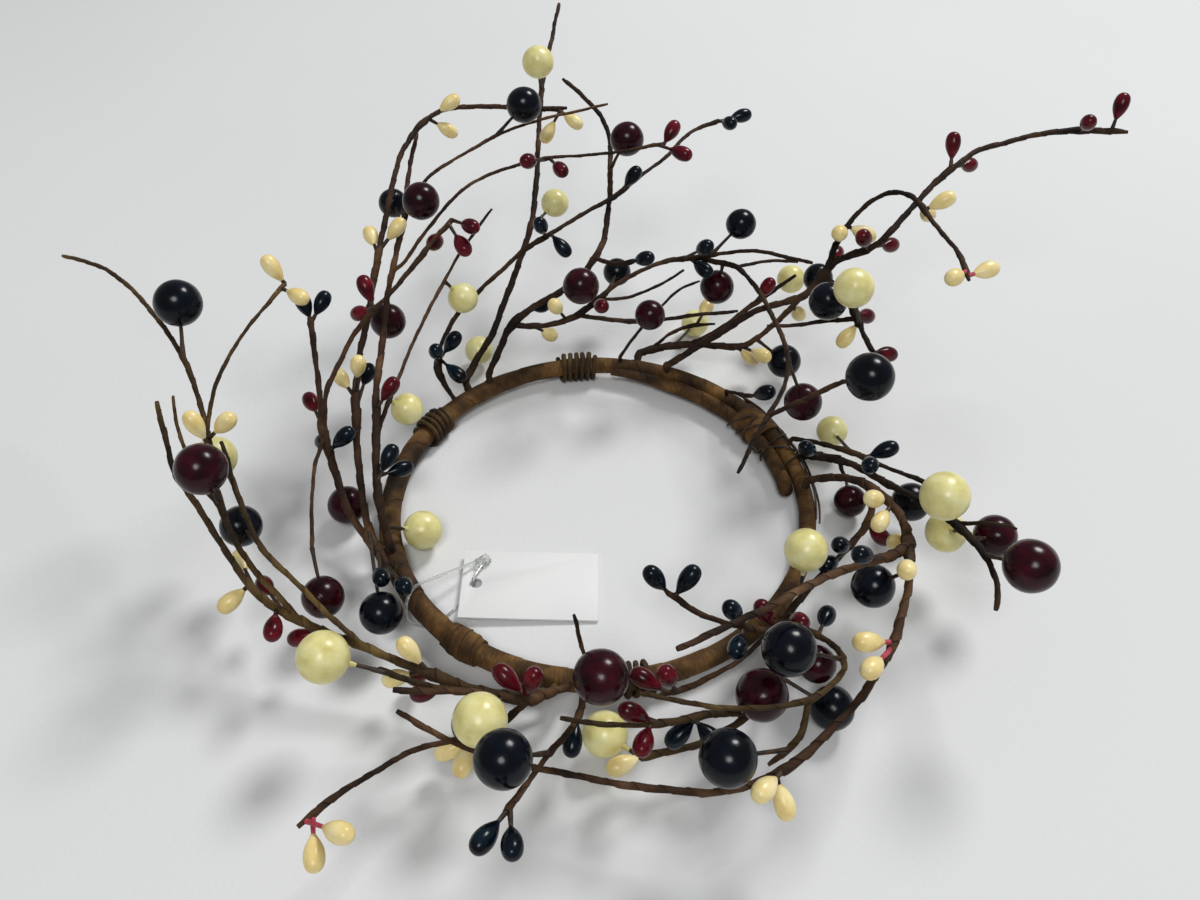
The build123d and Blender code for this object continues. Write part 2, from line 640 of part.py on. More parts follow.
with BuildPart() as ring_wire:
    with BuildSketch(Plane.XZ):
        with Locations((ring_radius, ring_rise)):
            Circle(hoop_wire_radius)
    revolve(axis=Axis.Z)

with BuildPart() as ring_wrap:
    with BuildSketch(Plane.XZ):
        with Locations((ring_radius, ring_rise)):
            Circle(tape_outer_radius)
            Circle(hoop_wire_radius + hoop_wire_clearance, mode=Mode.SUBTRACT)
    revolve(axis=Axis.Z)

overlap_radius = ring_radius - tape_outer_radius - seat_gap - overlap_strand_radius


def upright(bearing):
    """Returns the upright plane through the ring's axis, with its first axis at a bearing."""
    return Plane(origin=(0, 0, 0), x_dir=on_hoop(bearing, 1, 0), z_dir=on_hoop(bearing - right_angle, 1, 0))


with BuildPart() as overlap_strand:
    with BuildSketch(upright(overlap_from_bearing)):
        with Locations((overlap_radius, overlap_strand_rise)):
            Circle(overlap_strand_radius)
    revolve(axis=Axis.Z, revolution_arc=overlap_to_bearing - overlap_from_bearing)

# Bindings: wire wound round the hoop, each one tube on arcs of an eighth of a turn


def winding_step(bearing, turn_angle, reach):
    """Returns the point and heading of a winding, turn_angle degrees round the hoop's tape."""
    advance = radians(full_turn) * ring_radius / binding_pitch
    local = bearing + degrees(radians(turn_angle) / advance)
    outward = on_hoop(local, 1, 0)
    onward = on_hoop(local + right_angle, 1, 0)
    side, lift = cos(radians(turn_angle)), sin(radians(turn_angle))
    point = on_hoop(local, ring_radius + reach * side, ring_rise + reach * lift)
    travel = (ring_radius + reach * side) / advance
    heading = outward * (-reach * lift) + Vector(0, 0, reach * side) + onward * travel
    return point, heading.normalized()


def biarc(start, start_heading, end, end_heading):
    """Draws two arcs that join two points along their headings."""
    chord = end - start
    both = start_heading + end_heading
    bend = 2 * (1 - start_heading.dot(end_heading))
    reach = (sqrt(chord.dot(both) ** 2 + bend * chord.dot(chord)) - chord.dot(both)) / bend
    first, second = start + start_heading * reach, end - end_heading * reach
    middle = (first + second) / 2
    TangentArc(start, middle, tangent=start_heading)
    TangentArc(middle, end, tangent=(second - first).normalized())


def least_gap(route, diameter, pitch_count):
    """Returns the least distance of a winding's surface to its next turns."""
    count = pitch_count * gap_samples_per_turn
    points = [route @ (i / count) for i in range(count + 1)]
    apart = round(gap_samples_per_turn * next_turn_share)
    pairs = ((a, b) for i, a in enumerate(points) for b in points[i + apart:])
    return min((a - b).length for a, b in pairs) - diameter


def winding(label, bearing, turns):
    """Builds a binding centred on a bearing, cut flat where the ring stands on it."""
    reach = tape_outer_radius + binding_clearance + binding_wire_diameter / 2
    spread = degrees(turns * binding_pitch / ring_radius)
    lead = degrees(binding_start_angle / full_turn * binding_pitch / ring_radius)
    origin = bearing - spread / 2 - lead
    angles = [binding_start_angle + right_angle * i for i in range(quarters_per_turn * turns + 1)]
    steps = [winding_step(origin, angle, reach) for angle in angles]
    (start, start_heading), (end, end_heading) = steps[0], steps[-1]
    with BuildPart() as coil:
        with BuildLine() as line:
            Line(start - start_heading * binding_wire_diameter, start)
            for (a, a_heading), (b, b_heading) in zip(steps, steps[1:]):
                biarc(a, a_heading, b, b_heading)
            Line(end, end + end_heading * binding_wire_diameter)
        with BuildSketch(facing(line.wire() @ 0, line.wire() % 0)):
            Circle(binding_wire_diameter / 2)
        sweep()
        split(bisect_by=Plane.XY, keep=Keep.TOP)
    print(label, "least gap between turns", round(least_gap(line.wire(), binding_wire_diameter, turns), 2))
    coil.part.label = label
    return coil.part


# Tape collar round the hoop alone

with BuildPart() as tape_collar:
    with BuildSketch(upright(collar_bearing - collar_arc / 2)):
        with Locations((ring_radius, ring_rise)):
            Circle(binding_reach)
            Circle(tape_outer_radius + binding_clearance, mode=Mode.SUBTRACT)
        with Locations((ring_radius, -binding_reach)):
            Rectangle(2 * binding_reach, 2 * binding_reach, mode=Mode.SUBTRACT)
    revolve(axis=Axis.Z, revolution_arc=collar_arc)

# Tape band round the hoop and the overlap strand

with BuildPart() as tape_band:
    with BuildSketch(upright(band_bearing - band_arc / 2)):
        with BuildSketch(mode=Mode.PRIVATE) as outside:
            with Locations((ring_radius, ring_rise)):
                Circle(binding_reach)
            with Locations((overlap_radius, overlap_strand_rise)):
                Circle(overlap_strand_radius + binding_clearance + band_thickness)
            make_hull()
        with BuildSketch(mode=Mode.PRIVATE) as inside:
            with Locations((ring_radius, ring_rise)):
                Circle(tape_outer_radius + binding_clearance)
            with Locations((overlap_radius, overlap_strand_rise)):
                Circle(overlap_strand_radius + binding_clearance)
            make_hull()
        add(outside.sketch)
        add(inside.sketch, mode=Mode.SUBTRACT)
        with Locations((ring_radius, -binding_reach)):
            Rectangle(2 * ring_radius, 2 * binding_reach, mode=Mode.SUBTRACT)
    revolve(axis=Axis.Z, revolution_arc=band_arc)

# Hang tag: a bare card, and the plastic loop that ties it to the hoop

loop_core = on_hoop(tag_bearing)
loop_inward = on_hoop(tag_bearing, -1, 0)
loop_onward = on_hoop(tag_bearing + right_angle, 1, 0)


def loop_place(inward, onward, rise):
    """Returns a point given from the hoop's centre line at the tag, with its rise over the surface."""
    return Vector(loop_core.X, loop_core.Y, rise) + loop_inward * inward + loop_onward * onward


loop_reach = tape_outer_radius + loop_clearance + filament_radius
wrap_corner_reach = loop_reach / cos(radians(wrap_step / 2))
wrap_angles = [wrap_first_angle + wrap_step * i for i in range(wrap_corners)]
wrap_points = [
    loop_place(
        wrap_corner_reach * cos(radians(angle)),
        loop_half_spread * (2 * i / (wrap_corners - 1) - 1),
        ring_rise + wrap_corner_reach * sin(radians(angle)),
    )
    for i, angle in enumerate(wrap_angles)
]
filament_lowest = filament_radius + binding_clearance
card_top = card_underside + card_thickness
loop_crown = card_top + loop_crown_height
lock_middle = loop_place(lock_reach, -lock_aside, card_top + seat_gap + lock_height / 2)
strand_apart = loop_onward * (filament_radius + seat_gap)
loop_points = [
    lock_middle - strand_apart,
    *wrap_points,
    loop_place(hole_reach - loop_underrun, loop_half_spread / 2, filament_lowest),
    loop_place(hole_reach, 0, filament_lowest),
    loop_place(hole_reach, 0, loop_crown),
    lock_middle + strand_apart,
]

with BuildPart() as tag_loop:
    with BuildLine() as filament_line:
        FilletPolyline(*loop_points, radius=gentle_radii(loop_points))
    with BuildSketch(facing(filament_line.wire() @ 0, filament_line.wire() % 0)):
        Circle(filament_radius)
    sweep()
    with BuildSketch(Plane(origin=lock_middle - Vector(0, 0, lock_height / 2), x_dir=loop_onward)):
        RectangleRounded(lock_width, lock_length, lock_corner_radius)
    extrude(amount=lock_height)

card_hole = loop_place(hole_reach, 0, card_underside)
card_hole += Vector(card_hole_radius - filament_radius - seat_gap, 0, 0)
card_slope = radians(card_slope_angle)
card_along = Vector(cos(card_slope), 0, -sin(card_slope))
card_up = Vector(sin(card_slope), 0, cos(card_slope))

with BuildPart() as hang_tag:
    with BuildSketch(Plane(origin=card_hole, x_dir=card_along, z_dir=card_up)):
        with Locations((-card_hole_inset, 0)):
            Rectangle(card_length, card_width, align=(Align.MIN, Align.CENTER))
        Circle(card_hole_radius, mode=Mode.SUBTRACT)
    extrude(amount=card_thickness)


# Sprays


def build_stems(stems):
    """Builds the stems of a spray, one tube along each route."""
    with BuildPart() as wood:
        for stem in stems.values():
            with BuildSketch(facing(stem.route @ 0, stem.route % 0)):
                Circle(stem.radius)
            sweep(path=stem.route)
    return wood.part


def build_berries(berries):
    """Builds berries, each bored for its wire. A berry is (centre, radius, heading of its wire)."""
    with BuildPart() as balls:
        for centre, radius, heading in berries:
            bore_depth = radius * bore_depth_share
            bore_size = 2 * (wire_radius + bore_clearance)
            mouth = (Align.MIN, Align.CENTER)
            with BuildSketch(Plane(origin=centre, x_dir=heading, z_dir=side_of(heading))):
                Circle(radius)
                with Locations((-radius - overrun, 0)):
                    Rectangle(bore_depth + overrun, bore_size, align=mouth, mode=Mode.SUBTRACT)
                Rectangle(2 * radius, radius, align=(Align.CENTER, Align.MAX), mode=Mode.SUBTRACT)
            revolve(axis=Axis(centre, heading))
    return balls.part


def build_wires(wires):
    """Builds straight berry wires. A wire is (start, heading, length)."""
    with BuildPart() as rods:
        for start, heading, length in wires:
            with BuildSketch(facing(start, heading)):
                Circle(wire_radius)
            extrude(amount=length)
    return rods.part


def build_pips(pips):
    """Builds teardrop pips on their necks. A pip is (start, heading, neck length)."""
    with BuildPart() as drops:
        for start, heading, neck in pips:
            with BuildSketch(Plane(origin=start, x_dir=heading, z_dir=heading.cross(side_of(heading)))):
                with BuildLine():
                    Polyline((neck, pip_neck_radius), (0, pip_neck_radius), (0, 0), (neck + pip_length, 0))
                    Line((neck + pip_length, 0), (neck + pip_length, pip_tip_radius))
                    Spline(
                        (neck + pip_length, pip_tip_radius),
                        (neck + pip_length * pip_widest_share, pip_radius),
                        (neck, pip_neck_radius),
                        tangents=((-tip_slope, 1), (-base_slope, -1)),
                    )
                make_face()
            revolve(axis=Axis(start, heading))
    return drops.part


def side_of(heading):
    """Returns a direction square to a heading."""
    return heading.cross(view_in if abs(heading.Z) > tip_along else Vector(0, 0, 1)).normalized()


# The sprays that share a node for their berries of one colour, and one for their pips
spray_groups = {
    "left": ("left_sweep", "left_outer", "left_inner"),
    "back": ("back_left", "back_middle", "back_right", "far_right"),
    "right": ("right", "front_right"),
    "front": ("front", "front_left"),
}

pieces = {
    "ring_wire": ring_wire.part,
    "ring_wrap": ring_wrap.part,
    "overlap_strand": overlap_strand.part,
    "binding_back": winding("binding_back", back_binding_bearing, back_binding_turns),
    "binding_left": winding("binding_left", left_binding_bearing, left_binding_turns),
    "binding_front": winding("binding_front", front_binding_bearing, front_binding_turns),
    "tape_collar": tape_collar.part,
    "tape_band": tape_band.part,
    "tag_loop": tag_loop.part,
    "hang_tag": hang_tag.part,
}

for group, names in spray_groups.items():
    berries, pips = {}, {}
    for name in names:
        table = spray_pixels_and_shares[name]
        stems = trace_stems(table["stems"])
        pieces[name + "_stems"] = build_stems(stems)
        wires = []
        for colour, size, spot, carrier, leaves_at in table["berries"]:
            stem, centre, radius = stems[carrier], place(spot), berry_radii[size]
            start, heading = stem.seat(stem.nearest(leaves_at), centre, wire_radius)
            heading = (centre - start).normalized()
            into = radius * (1 - bore_depth_share) + seat_gap
            wires.append((start, heading, (centre - start).length - into))
            berries.setdefault(colour, []).append((centre, radius, heading))
        pieces[name + "_berry_wires"] = build_wires(wires)
        for colour, carrier, leaves_at, spots in table["pips"]:
            stem = stems[carrier]
            root = stem.nearest(leaves_at)
            for i, spot in enumerate(spots):
                sample = stem.pip_sample(root, i)
                start, heading = stem.seat(sample, place(spot), pip_neck_radius)
                neck = (place(spot) - start).length - pip_length / 2
                pips.setdefault(colour, []).append((start, heading, max(neck, least_neck)))
    for colour, found in berries.items():
        pieces[f"{group}_{colour}_berries"] = build_berries(found)
    for colour, found in pips.items():
        pieces[f"{group}_{colour}_pips"] = build_pips(found)

os.makedirs("parts", exist_ok=True)
for name, piece in pieces.items():
    piece.label = name
    export_step(piece, f"parts/{name}.step")
print(len(pieces), "nodes,", sum(len(piece.solids()) for piece in pieces.values()), "solids")
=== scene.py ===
# %% [markdown]
# # Dressing a candle ring
# A candle ring is a wire hoop in paper tape, with sprays of taped twigs bound to it. Lacquered berries
# and small pips sit on the twigs on thin wires. The frame that is loaded here holds the measured solids.
# This lesson gives each of them the surface of the real thing: spiral laps of tape, lacquer, wire and card.

# %% Load the frame
import math
import random

import bpy
from mathutils import Matrix, Vector, noise


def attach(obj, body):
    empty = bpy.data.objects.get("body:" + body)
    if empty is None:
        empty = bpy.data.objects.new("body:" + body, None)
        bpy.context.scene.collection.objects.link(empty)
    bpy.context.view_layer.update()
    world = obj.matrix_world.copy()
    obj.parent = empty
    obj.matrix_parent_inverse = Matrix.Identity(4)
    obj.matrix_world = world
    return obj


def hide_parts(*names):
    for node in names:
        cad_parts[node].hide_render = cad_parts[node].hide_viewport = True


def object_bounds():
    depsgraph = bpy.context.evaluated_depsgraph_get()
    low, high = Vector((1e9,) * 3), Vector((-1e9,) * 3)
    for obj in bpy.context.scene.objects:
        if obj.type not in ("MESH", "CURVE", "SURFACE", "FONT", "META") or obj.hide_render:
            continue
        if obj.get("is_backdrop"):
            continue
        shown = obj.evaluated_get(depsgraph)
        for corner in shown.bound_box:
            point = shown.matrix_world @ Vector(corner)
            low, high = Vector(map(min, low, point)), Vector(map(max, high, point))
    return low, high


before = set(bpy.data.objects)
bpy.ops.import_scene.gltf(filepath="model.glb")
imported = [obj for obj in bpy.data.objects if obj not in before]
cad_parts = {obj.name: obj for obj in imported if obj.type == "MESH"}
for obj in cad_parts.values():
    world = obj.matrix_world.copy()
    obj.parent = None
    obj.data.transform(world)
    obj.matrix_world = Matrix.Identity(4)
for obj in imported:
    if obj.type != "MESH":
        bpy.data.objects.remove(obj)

cad_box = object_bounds()
mm = 0.001
dice = random.Random(7)
noise.seed_set(7)

# %% [markdown]
# ## The camera
# The picture was taken by hand from in front, looking down at 45.5 degrees from a quarter of a metre away.
# The viewpoint is worked out from two facts: the pixel that shows the ring's centre, and how large the ring
# looks. The same facts let any pixel be turned back into a place, once its height over the table is known.

# %% Viewpoint
ring_radius = 53.0
ring_rise = 4.3
view_elevation = 45.5
view_distance = 4.838 * ring_radius
focal_pixels = 1000.0
sensor_width = 36.0
frame_centre = (600.0, 450.0)
ring_centre_pixel = (598.8, 500.6)

tilt = math.radians(view_elevation)
view_in = Vector((0, math.cos(tilt), -math.sin(tilt)))
view_up = Vector((0, math.sin(tilt), math.cos(tilt)))
view_right = Vector((1, 0, 0))


def view_ray(pixel):
    """Returns the ray through a pixel, one unit deep along the view."""
    across = (pixel[0] - frame_centre[0]) / focal_pixels
    up = (frame_centre[1] - pixel[1]) / focal_pixels
    return view_in + view_right * across + view_up * up


viewpoint = Vector((0, 0, ring_rise)) - view_ray(ring_centre_pixel) * view_distance
print("viewpoint in millimetres", [round(x, 1) for x in viewpoint])

# %% Camera
bpy.ops.object.camera_add(location=viewpoint * mm, rotation=(math.radians(90 - view_elevation), 0, 0))
camera = bpy.context.object
camera.data.sensor_width = sensor_width
camera.data.lens = sensor_width * focal_pixels / (2 * frame_centre[0])
bpy.context.scene.camera = camera
print("lens", camera.data.lens, "mm")

# %% [markdown]
# ## Materials
# Every finish is built from nodes. Paper tape is crepe: fine wrinkles run across it, with painted shade in
# their creases and a painted highlight on their ridges. Each lap has painted shade along its step, with a
# faint painted highlight on the lip. Its lap follows the piece's own UV map, whose U runs along the tube in
# units of ten millimetres and whose V runs once round it, so the wrinkles and the painted lap shade turn with
# the tape. The other finishes are two or three tones of a grain, which also raises the surface a little.


# %% Helpers for materials
def begin(name, roughness, shine=0.5):
    """Returns a new material, with how rough it is and how strongly it mirrors."""
    material = bpy.data.materials.new(name)
    material.use_nodes = True
    shader_of(material).inputs["Roughness"].default_value = roughness
    shader_of(material).inputs["Specular IOR Level"].default_value = shine
    return material


def shader_of(material):
    """Returns a material's shader."""
    return material.node_tree.nodes["Principled BSDF"]


def pattern(material, scale, detail=4.0, coordinates="Object", stretch=(1, 1, 1)):
    """Returns the grey of a noise that reads stretched Object or UV coordinates."""
    tree = material.node_tree
    place = tree.nodes.new("ShaderNodeTexCoord")
    mapping = tree.nodes.new("ShaderNodeMapping")
    mapping.inputs["Scale"].default_value = stretch
    grain = tree.nodes.new("ShaderNodeTexNoise")
    grain.inputs["Scale"].default_value = scale
    grain.inputs["Detail"].default_value = detail
    tree.links.new(place.outputs[coordinates], mapping.inputs["Vector"])
    tree.links.new(mapping.outputs["Vector"], grain.inputs["Vector"])
    return grain.outputs["Fac"]


def tones(material, source, places, colours):
    """Returns the colour of a ramp with colours at places from 0 to 1, fed by a grain."""
    ramp = material.node_tree.nodes.new("ShaderNodeValToRGB")
    elements = ramp.color_ramp.elements
    while len(elements) < len(places):
        elements.new(0.5)
    for element, place, colour in zip(elements, places, colours):
        element.position = place
        element.color = (*colour, 1)
    material.node_tree.links.new(source, ramp.inputs["Fac"])
    return ramp.outputs["Color"]


def greys(material, source, places, levels):
    """Returns the same as tones, with greys."""
    return tones(material, source, places, [(level,) * 3 for level in levels])


def relief(material, *heights):
    """Chains bumps, each given as (height, strength, distance in metres), into the shader's normal."""
    tree = material.node_tree
    before = None
    for height, strength, distance in heights:
        bump = tree.nodes.new("ShaderNodeBump")
        bump.inputs["Strength"].default_value = strength
        bump.inputs["Distance"].default_value = distance
        tree.links.new(height, bump.inputs["Height"])
        if before:
            tree.links.new(before, bump.inputs["Normal"])
        before = bump.outputs["Normal"]
    tree.links.new(before, shader_of(material).inputs["Normal"])


def multiplied(material, first, second, factor):
    """Returns one colour multiplied by another, as strongly as the factor says."""
    tree = material.node_tree
    mix = tree.nodes.new("ShaderNodeMix")
    mix.data_type = "RGBA"
    mix.blend_type = "MULTIPLY"
    mix.inputs["Factor"].default_value = factor
    tree.links.new(first, mix.inputs["A"])
    tree.links.new(second, mix.inputs["B"])
    return mix.outputs["Result"]


def coloured(material, colour):
    """Gives a material's shader its colour and says so."""
    material.node_tree.links.new(colour, shader_of(material).inputs["Base Color"])
    print("finish", material.name)
    return material


def paper_tape(name, dark, middle, light, fibres=(10.0, 1.6), edge=0.70, patch=90.0):
    """Returns crepe tape in three tones, with painted shade and highlight on its wrinkles or fibres and painted
    shade along each lap's step.
    """
    material = begin(name, 0.70, 0.22)
    base = tones(material, pattern(material, patch, 5.0), (0.34, 0.52, 0.70), (dark, middle, light))
    crepe = pattern(material, 3.0, 6.0, "UV", (*fibres, 1))
    place = material.node_tree.nodes.new("ShaderNodeTexCoord")
    parts = material.node_tree.nodes.new("ShaderNodeSeparateXYZ")
    material.node_tree.links.new(place.outputs["UV"], parts.inputs["Vector"])
    # Painted shade: the colour darkens to edge at the foot of each lap's step, where V is 0 and 1, and rises to
    # a faint painted highlight of 1.06 on the lip just before it.
    half_lap_shade = (1 + edge) / 2
    lap_shade_greys = (edge, half_lap_shade, 1.0, 1.06, half_lap_shade)
    lap = greys(material, parts.outputs["Y"], (0.0, 0.08, 0.40, 0.94, 1.0), lap_shade_greys)
    # Painted shade and highlight: the noise that raises the wrinkles also darkens the colour in their creases
    # and lightens it on their ridges.
    wrinkle_shade_and_highlight = greys(material, crepe, (0.34, 0.52, 0.70), (0.55, 0.95, 1.25))
    lap_shaded = multiplied(material, base, lap, 1.0)
    relief(material, (crepe, 0.7, 0.0004), (pattern(material, 2600.0, 2.0), 0.2, 0.0001))
    return coloured(material, multiplied(material, lap_shaded, wrinkle_shade_and_highlight, 0.8))


def speckled(name, roughness, shine, dark, light, scale, detail=4.0, places=(0.35, 0.65), bump=0.0):
    """Returns a finish in two tones of one grain, which the same grain raises if there is a bump."""
    material = begin(name, roughness, shine)
    grain = pattern(material, scale, detail)
    if bump:
        relief(material, (grain, bump, 0.0001))
    return coloured(material, tones(material, grain, places, (dark, light)))


def lacquer(name, deep, plain, pale, roughness=0.21, shine=0.22):
    """Returns thick glossy lacquer, a little uneven in tone and in surface."""
    material = begin(name, roughness, shine)
    clouds = pattern(material, 260.0)
    relief(material, (clouds, 0.10, 0.0006), (pattern(material, 700.0, 1.0), 0.10, 0.0002))
    return coloured(material, tones(material, clouds, (0.30, 0.52, 0.74), (deep, plain, pale)))


# %% Finishes
# Each tape's edge sets how dark the painted shade along its laps' steps is; 1.0 leaves none.
hoop_tape = paper_tape(
    "hoop tape", (0.020, 0.010, 0.004), (0.090, 0.044, 0.013), (0.230, 0.122, 0.036), patch=120.0,
)
band_tape = paper_tape(
    "band tape", (0.026, 0.012, 0.004), (0.092, 0.043, 0.012), (0.190, 0.098, 0.028), edge=1.0, patch=260.0,
)
twig_tape, dark_tape, olive_tape = [
    paper_tape(name, *three_tones, fibres=(1.3, 9.0), edge=0.50, patch=70.0)
    for name, *three_tones in (
        ("twig tape", (0.016, 0.008, 0.004), (0.070, 0.033, 0.015), (0.175, 0.092, 0.042)),
        ("dark twig tape", (0.009, 0.005, 0.003), (0.038, 0.019, 0.010), (0.105, 0.056, 0.028)),
        ("olive twig tape", (0.015, 0.009, 0.003), (0.070, 0.039, 0.013), (0.185, 0.118, 0.038)),
    )
]
binding_paper = paper_tape(
    "binding paper", (0.016, 0.009, 0.004), (0.058, 0.032, 0.012), (0.120, 0.078, 0.026),
    fibres=(2.0, 5.0), edge=0.80, patch=160.0,
)
wire_paint, red_paint = [
    speckled(name, 0.5, 0.3, dark, light, 700.0, 3.0, (0.36, 0.66), 0.4)
    for name, dark, light in (
        ("brown wire paint", (0.012, 0.007, 0.004), (0.055, 0.031, 0.016)),
        ("red wire paint", (0.300, 0.030, 0.050), (0.520, 0.080, 0.110)),
    )
]
steel = speckled("hoop steel", 0.35, 0.5, (0.30, 0.29, 0.28), (0.48, 0.47, 0.46), 600.0, places=(0.3, 0.7))
shader_of(steel).inputs["Metallic"].default_value = 1.0
clear_plastic = speckled("loop plastic", 0.14, 0.5, (0.84, 0.87, 0.86), (0.95, 0.96, 0.95), 500.0, bump=0.15)
shader_of(clear_plastic).inputs["Transmission Weight"].default_value = 0.85
shader_of(clear_plastic).inputs["IOR"].default_value = 1.46
white_card = speckled("bare card", 0.55, 0.5, (0.70, 0.71, 0.70), (0.76, 0.76, 0.75), 35.0, 3.0)
relief(white_card, (pattern(white_card, 1800.0, 5.0), 0.12, 0.0001))
lacquers = {
    "cream": lacquer("cream lacquer", (0.62, 0.54, 0.19), (0.76, 0.70, 0.30), (0.84, 0.80, 0.44), 0.30, 0.5),
    "burgundy": lacquer(
        "burgundy lacquer", (0.006, 0.0004, 0.0014), (0.021, 0.0010, 0.0036), (0.042, 0.0022, 0.0070),
    ),
    "navy": lacquer(
        "navy lacquer", (0.0003, 0.0007, 0.0016), (0.0008, 0.0022, 0.0056), (0.0020, 0.0052, 0.0120),
    ),
}
glazes = {
    "cream": lacquer("cream glaze", (0.72, 0.53, 0.19), (0.85, 0.69, 0.30), (0.90, 0.79, 0.45), 0.32, 0.5),
    "burgundy": lacquer("burgundy glaze", (0.024, 0.001, 0.002), (0.080, 0.003, 0.008), (0.170, 0.008, 0.018)),
    "navy": lacquer("navy glaze", (0.0004, 0.0012, 0.0026), (0.0014, 0.0050, 0.0105), (0.0040, 0.0150, 0.0270)),
}
drip_lacquer = lacquer("cream drip", (0.42, 0.36, 0.10), (0.56, 0.52, 0.20), (0.66, 0.62, 0.30), 0.30, 0.5)

# %% [markdown]
# ## Floor and light
# The ring lies on a pale cloth by a window. One large soft lamp behind the ring, to the right, throws the
# shadows forward and to the left, and a weaker one in front fills them. The sky gives the rest, so that a
# colour looks about as it is written.

# %% Floor
bpy.ops.mesh.primitive_grid_add(x_subdivisions=8, y_subdivisions=8, size=6)
floor = bpy.context.object
floor.name = "pale_floor"
floor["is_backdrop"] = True
pale_cloth = begin("pale cloth", 0.9)
relief(pale_cloth, (pattern(pale_cloth, 900.0, 2.0), 0.15, 0.0005))
cloth_greys = (0.66, 0.665, 0.665), (0.735, 0.74, 0.74)
cloth_tone = tones(pale_cloth, pattern(pale_cloth, 4.0, 2.0), (0.0, 1.0), cloth_greys)
floor.data.materials.append(coloured(pale_cloth, cloth_tone))
print("floor", floor.dimensions.x, "m across")

# %% Lamps and sky
for name, spot, size, power in (
    ("window lamp", (0.68, 0.86, 1.30), 0.50, 18.2),
    ("fill lamp", (-0.05, -0.75, 1.10), 0.45, 6.4),
):
    bpy.ops.object.light_add(type="AREA", location=spot)
    lamp = bpy.context.object
    lamp.name = name
    lamp.data.shape = "DISK"
    lamp.data.size = size
    lamp.data.energy = power
    lamp.rotation_euler = (-Vector(spot)).to_track_quat("-Z", "Y").to_euler()
    print(name, power, "W")

sky = bpy.data.worlds.new("studio sky")
bpy.context.scene.world = sky
sky.use_nodes = True
sky.node_tree.nodes["Background"].inputs["Color"].default_value = (0.97, 0.98, 1.0, 1)
sky.node_tree.nodes["Background"].inputs["Strength"].default_value = 0.26
bpy.context.scene.view_settings.view_transform = "Standard"

# %% [markdown]
# ## Routes
# A twig is a wire in tape, bent by hand into gentle curves. Its route is a few places joined by straight
# runs, with each corner rounded by an arc. Even samples along it are what the tape is wound on, and what
# berries and pips are tied to.

# %% Rounded routes
arc_run_share = 0.45
arc_step = 0.4


def rounded(places):
    """Returns a fine line through the places, with each corner rounded by an arc."""
    line = [places[0]]
    for before, corner, after in zip(places, places[1:], places[2:]):
        entering, leaving = (before - corner).normalized(), (after - corner).normalized()
        turn = (corner - before).angle(after - corner)
        cut = min((before - corner).length, (after - corner).length) * arc_run_share
        if turn < 0.01:
            line.append(corner)
            continue
        radius = cut / math.tan(turn / 2)
        middle = corner + (entering + leaving).normalized() * (radius / math.cos(turn / 2))
        arm = corner + entering * cut - middle
        steps = max(3, math.ceil(radius * turn / arc_step))
        for i in range(steps + 1):
            angle = turn * i / steps
            line.append(middle + arm * math.cos(angle) - entering * radius * math.sin(angle))
    line.append(places[-1])
    return line


def evenly(line, step):
    """Returns samples along a line, evenly spaced at about a step."""
    ends = [0.0]
    for a, b in zip(line, line[1:]):
        ends.append(ends[-1] + (b - a).length)
    count = max(2, math.ceil(ends[-1] / step))
    samples, k = [], 0
    for i in range(count + 1):
        reach = ends[-1] * i / count
        while k < len(line) - 2 and ends[k + 1] < reach:
            k += 1
        share = (reach - ends[k]) / max(ends[k + 1] - ends[k], 1e-9)
        samples.append(line[k].lerp(line[k + 1], min(share, 1.0)))
    return samples


def length_of(line):
    """Returns the length of a line."""
    return sum((b - a).length for a, b in zip(line, line[1:]))


# %% [markdown]
# ## Winding tape along a route
# Tape wound round a wire leaves a low step where each lap covers the last. A curve's bevel shape gives just
# that: its outline grows a little on its way round and drops back at once. With the curve's tilt turning
# steadily along the route, the step runs round the tube as the edge of the tape does. The curve is then
# made a mesh, and its own UV map follows the tape.


# %% Helpers for pieces
def take(*pieces):
    """Selects these pieces alone and makes the first one active."""
    bpy.ops.object.select_all(action="DESELECT")
    for piece in pieces:
        piece.select_set(True)
    bpy.context.view_layer.objects.active = pieces[0]


def close_up(piece):
    """Merges a mesh's doubled points and turns its faces outwards."""
    take(piece)
    bpy.ops.object.mode_set(mode="EDIT")
    bpy.ops.mesh.select_all(action="SELECT")
    bpy.ops.mesh.remove_doubles(threshold=0.000002)
    bpy.ops.mesh.normals_make_consistent(inside=False)
    bpy.ops.object.mode_set(mode="OBJECT")


def shaped(piece, name, kind, **settings):
    """Gives the active piece a modifier with these settings and applies it."""
    modifier = piece.modifiers.new(name, kind)
    for setting, value in settings.items():
        setattr(modifier, setting, value)
    bpy.ops.object.modifier_apply(modifier=name)


def clouds(name, scale):
    """Returns a soft texture that a surface can be displaced by."""
    texture = bpy.data.textures.new(name, "CLOUDS")
    texture.noise_scale = scale
    return texture


def finish(piece, name, material, crisp):
    """Gives the active piece its name, its one material and smooth shading up to an angle in degrees."""
    piece.name = name
    piece.data.materials.clear()
    piece.data.materials.append(material)
    bpy.ops.object.shade_smooth_by_angle(angle=math.radians(crisp))
    print(name, len(piece.data.polygons), "faces")
    return piece


def dress(piece, body, slot_name, *node_names):
    """Puts a finished piece on its body, in the place of the nodes that it stands for."""
    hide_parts(*node_names)
    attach(piece, body)


# %% Lap outlines
lap_round_share = 0.985


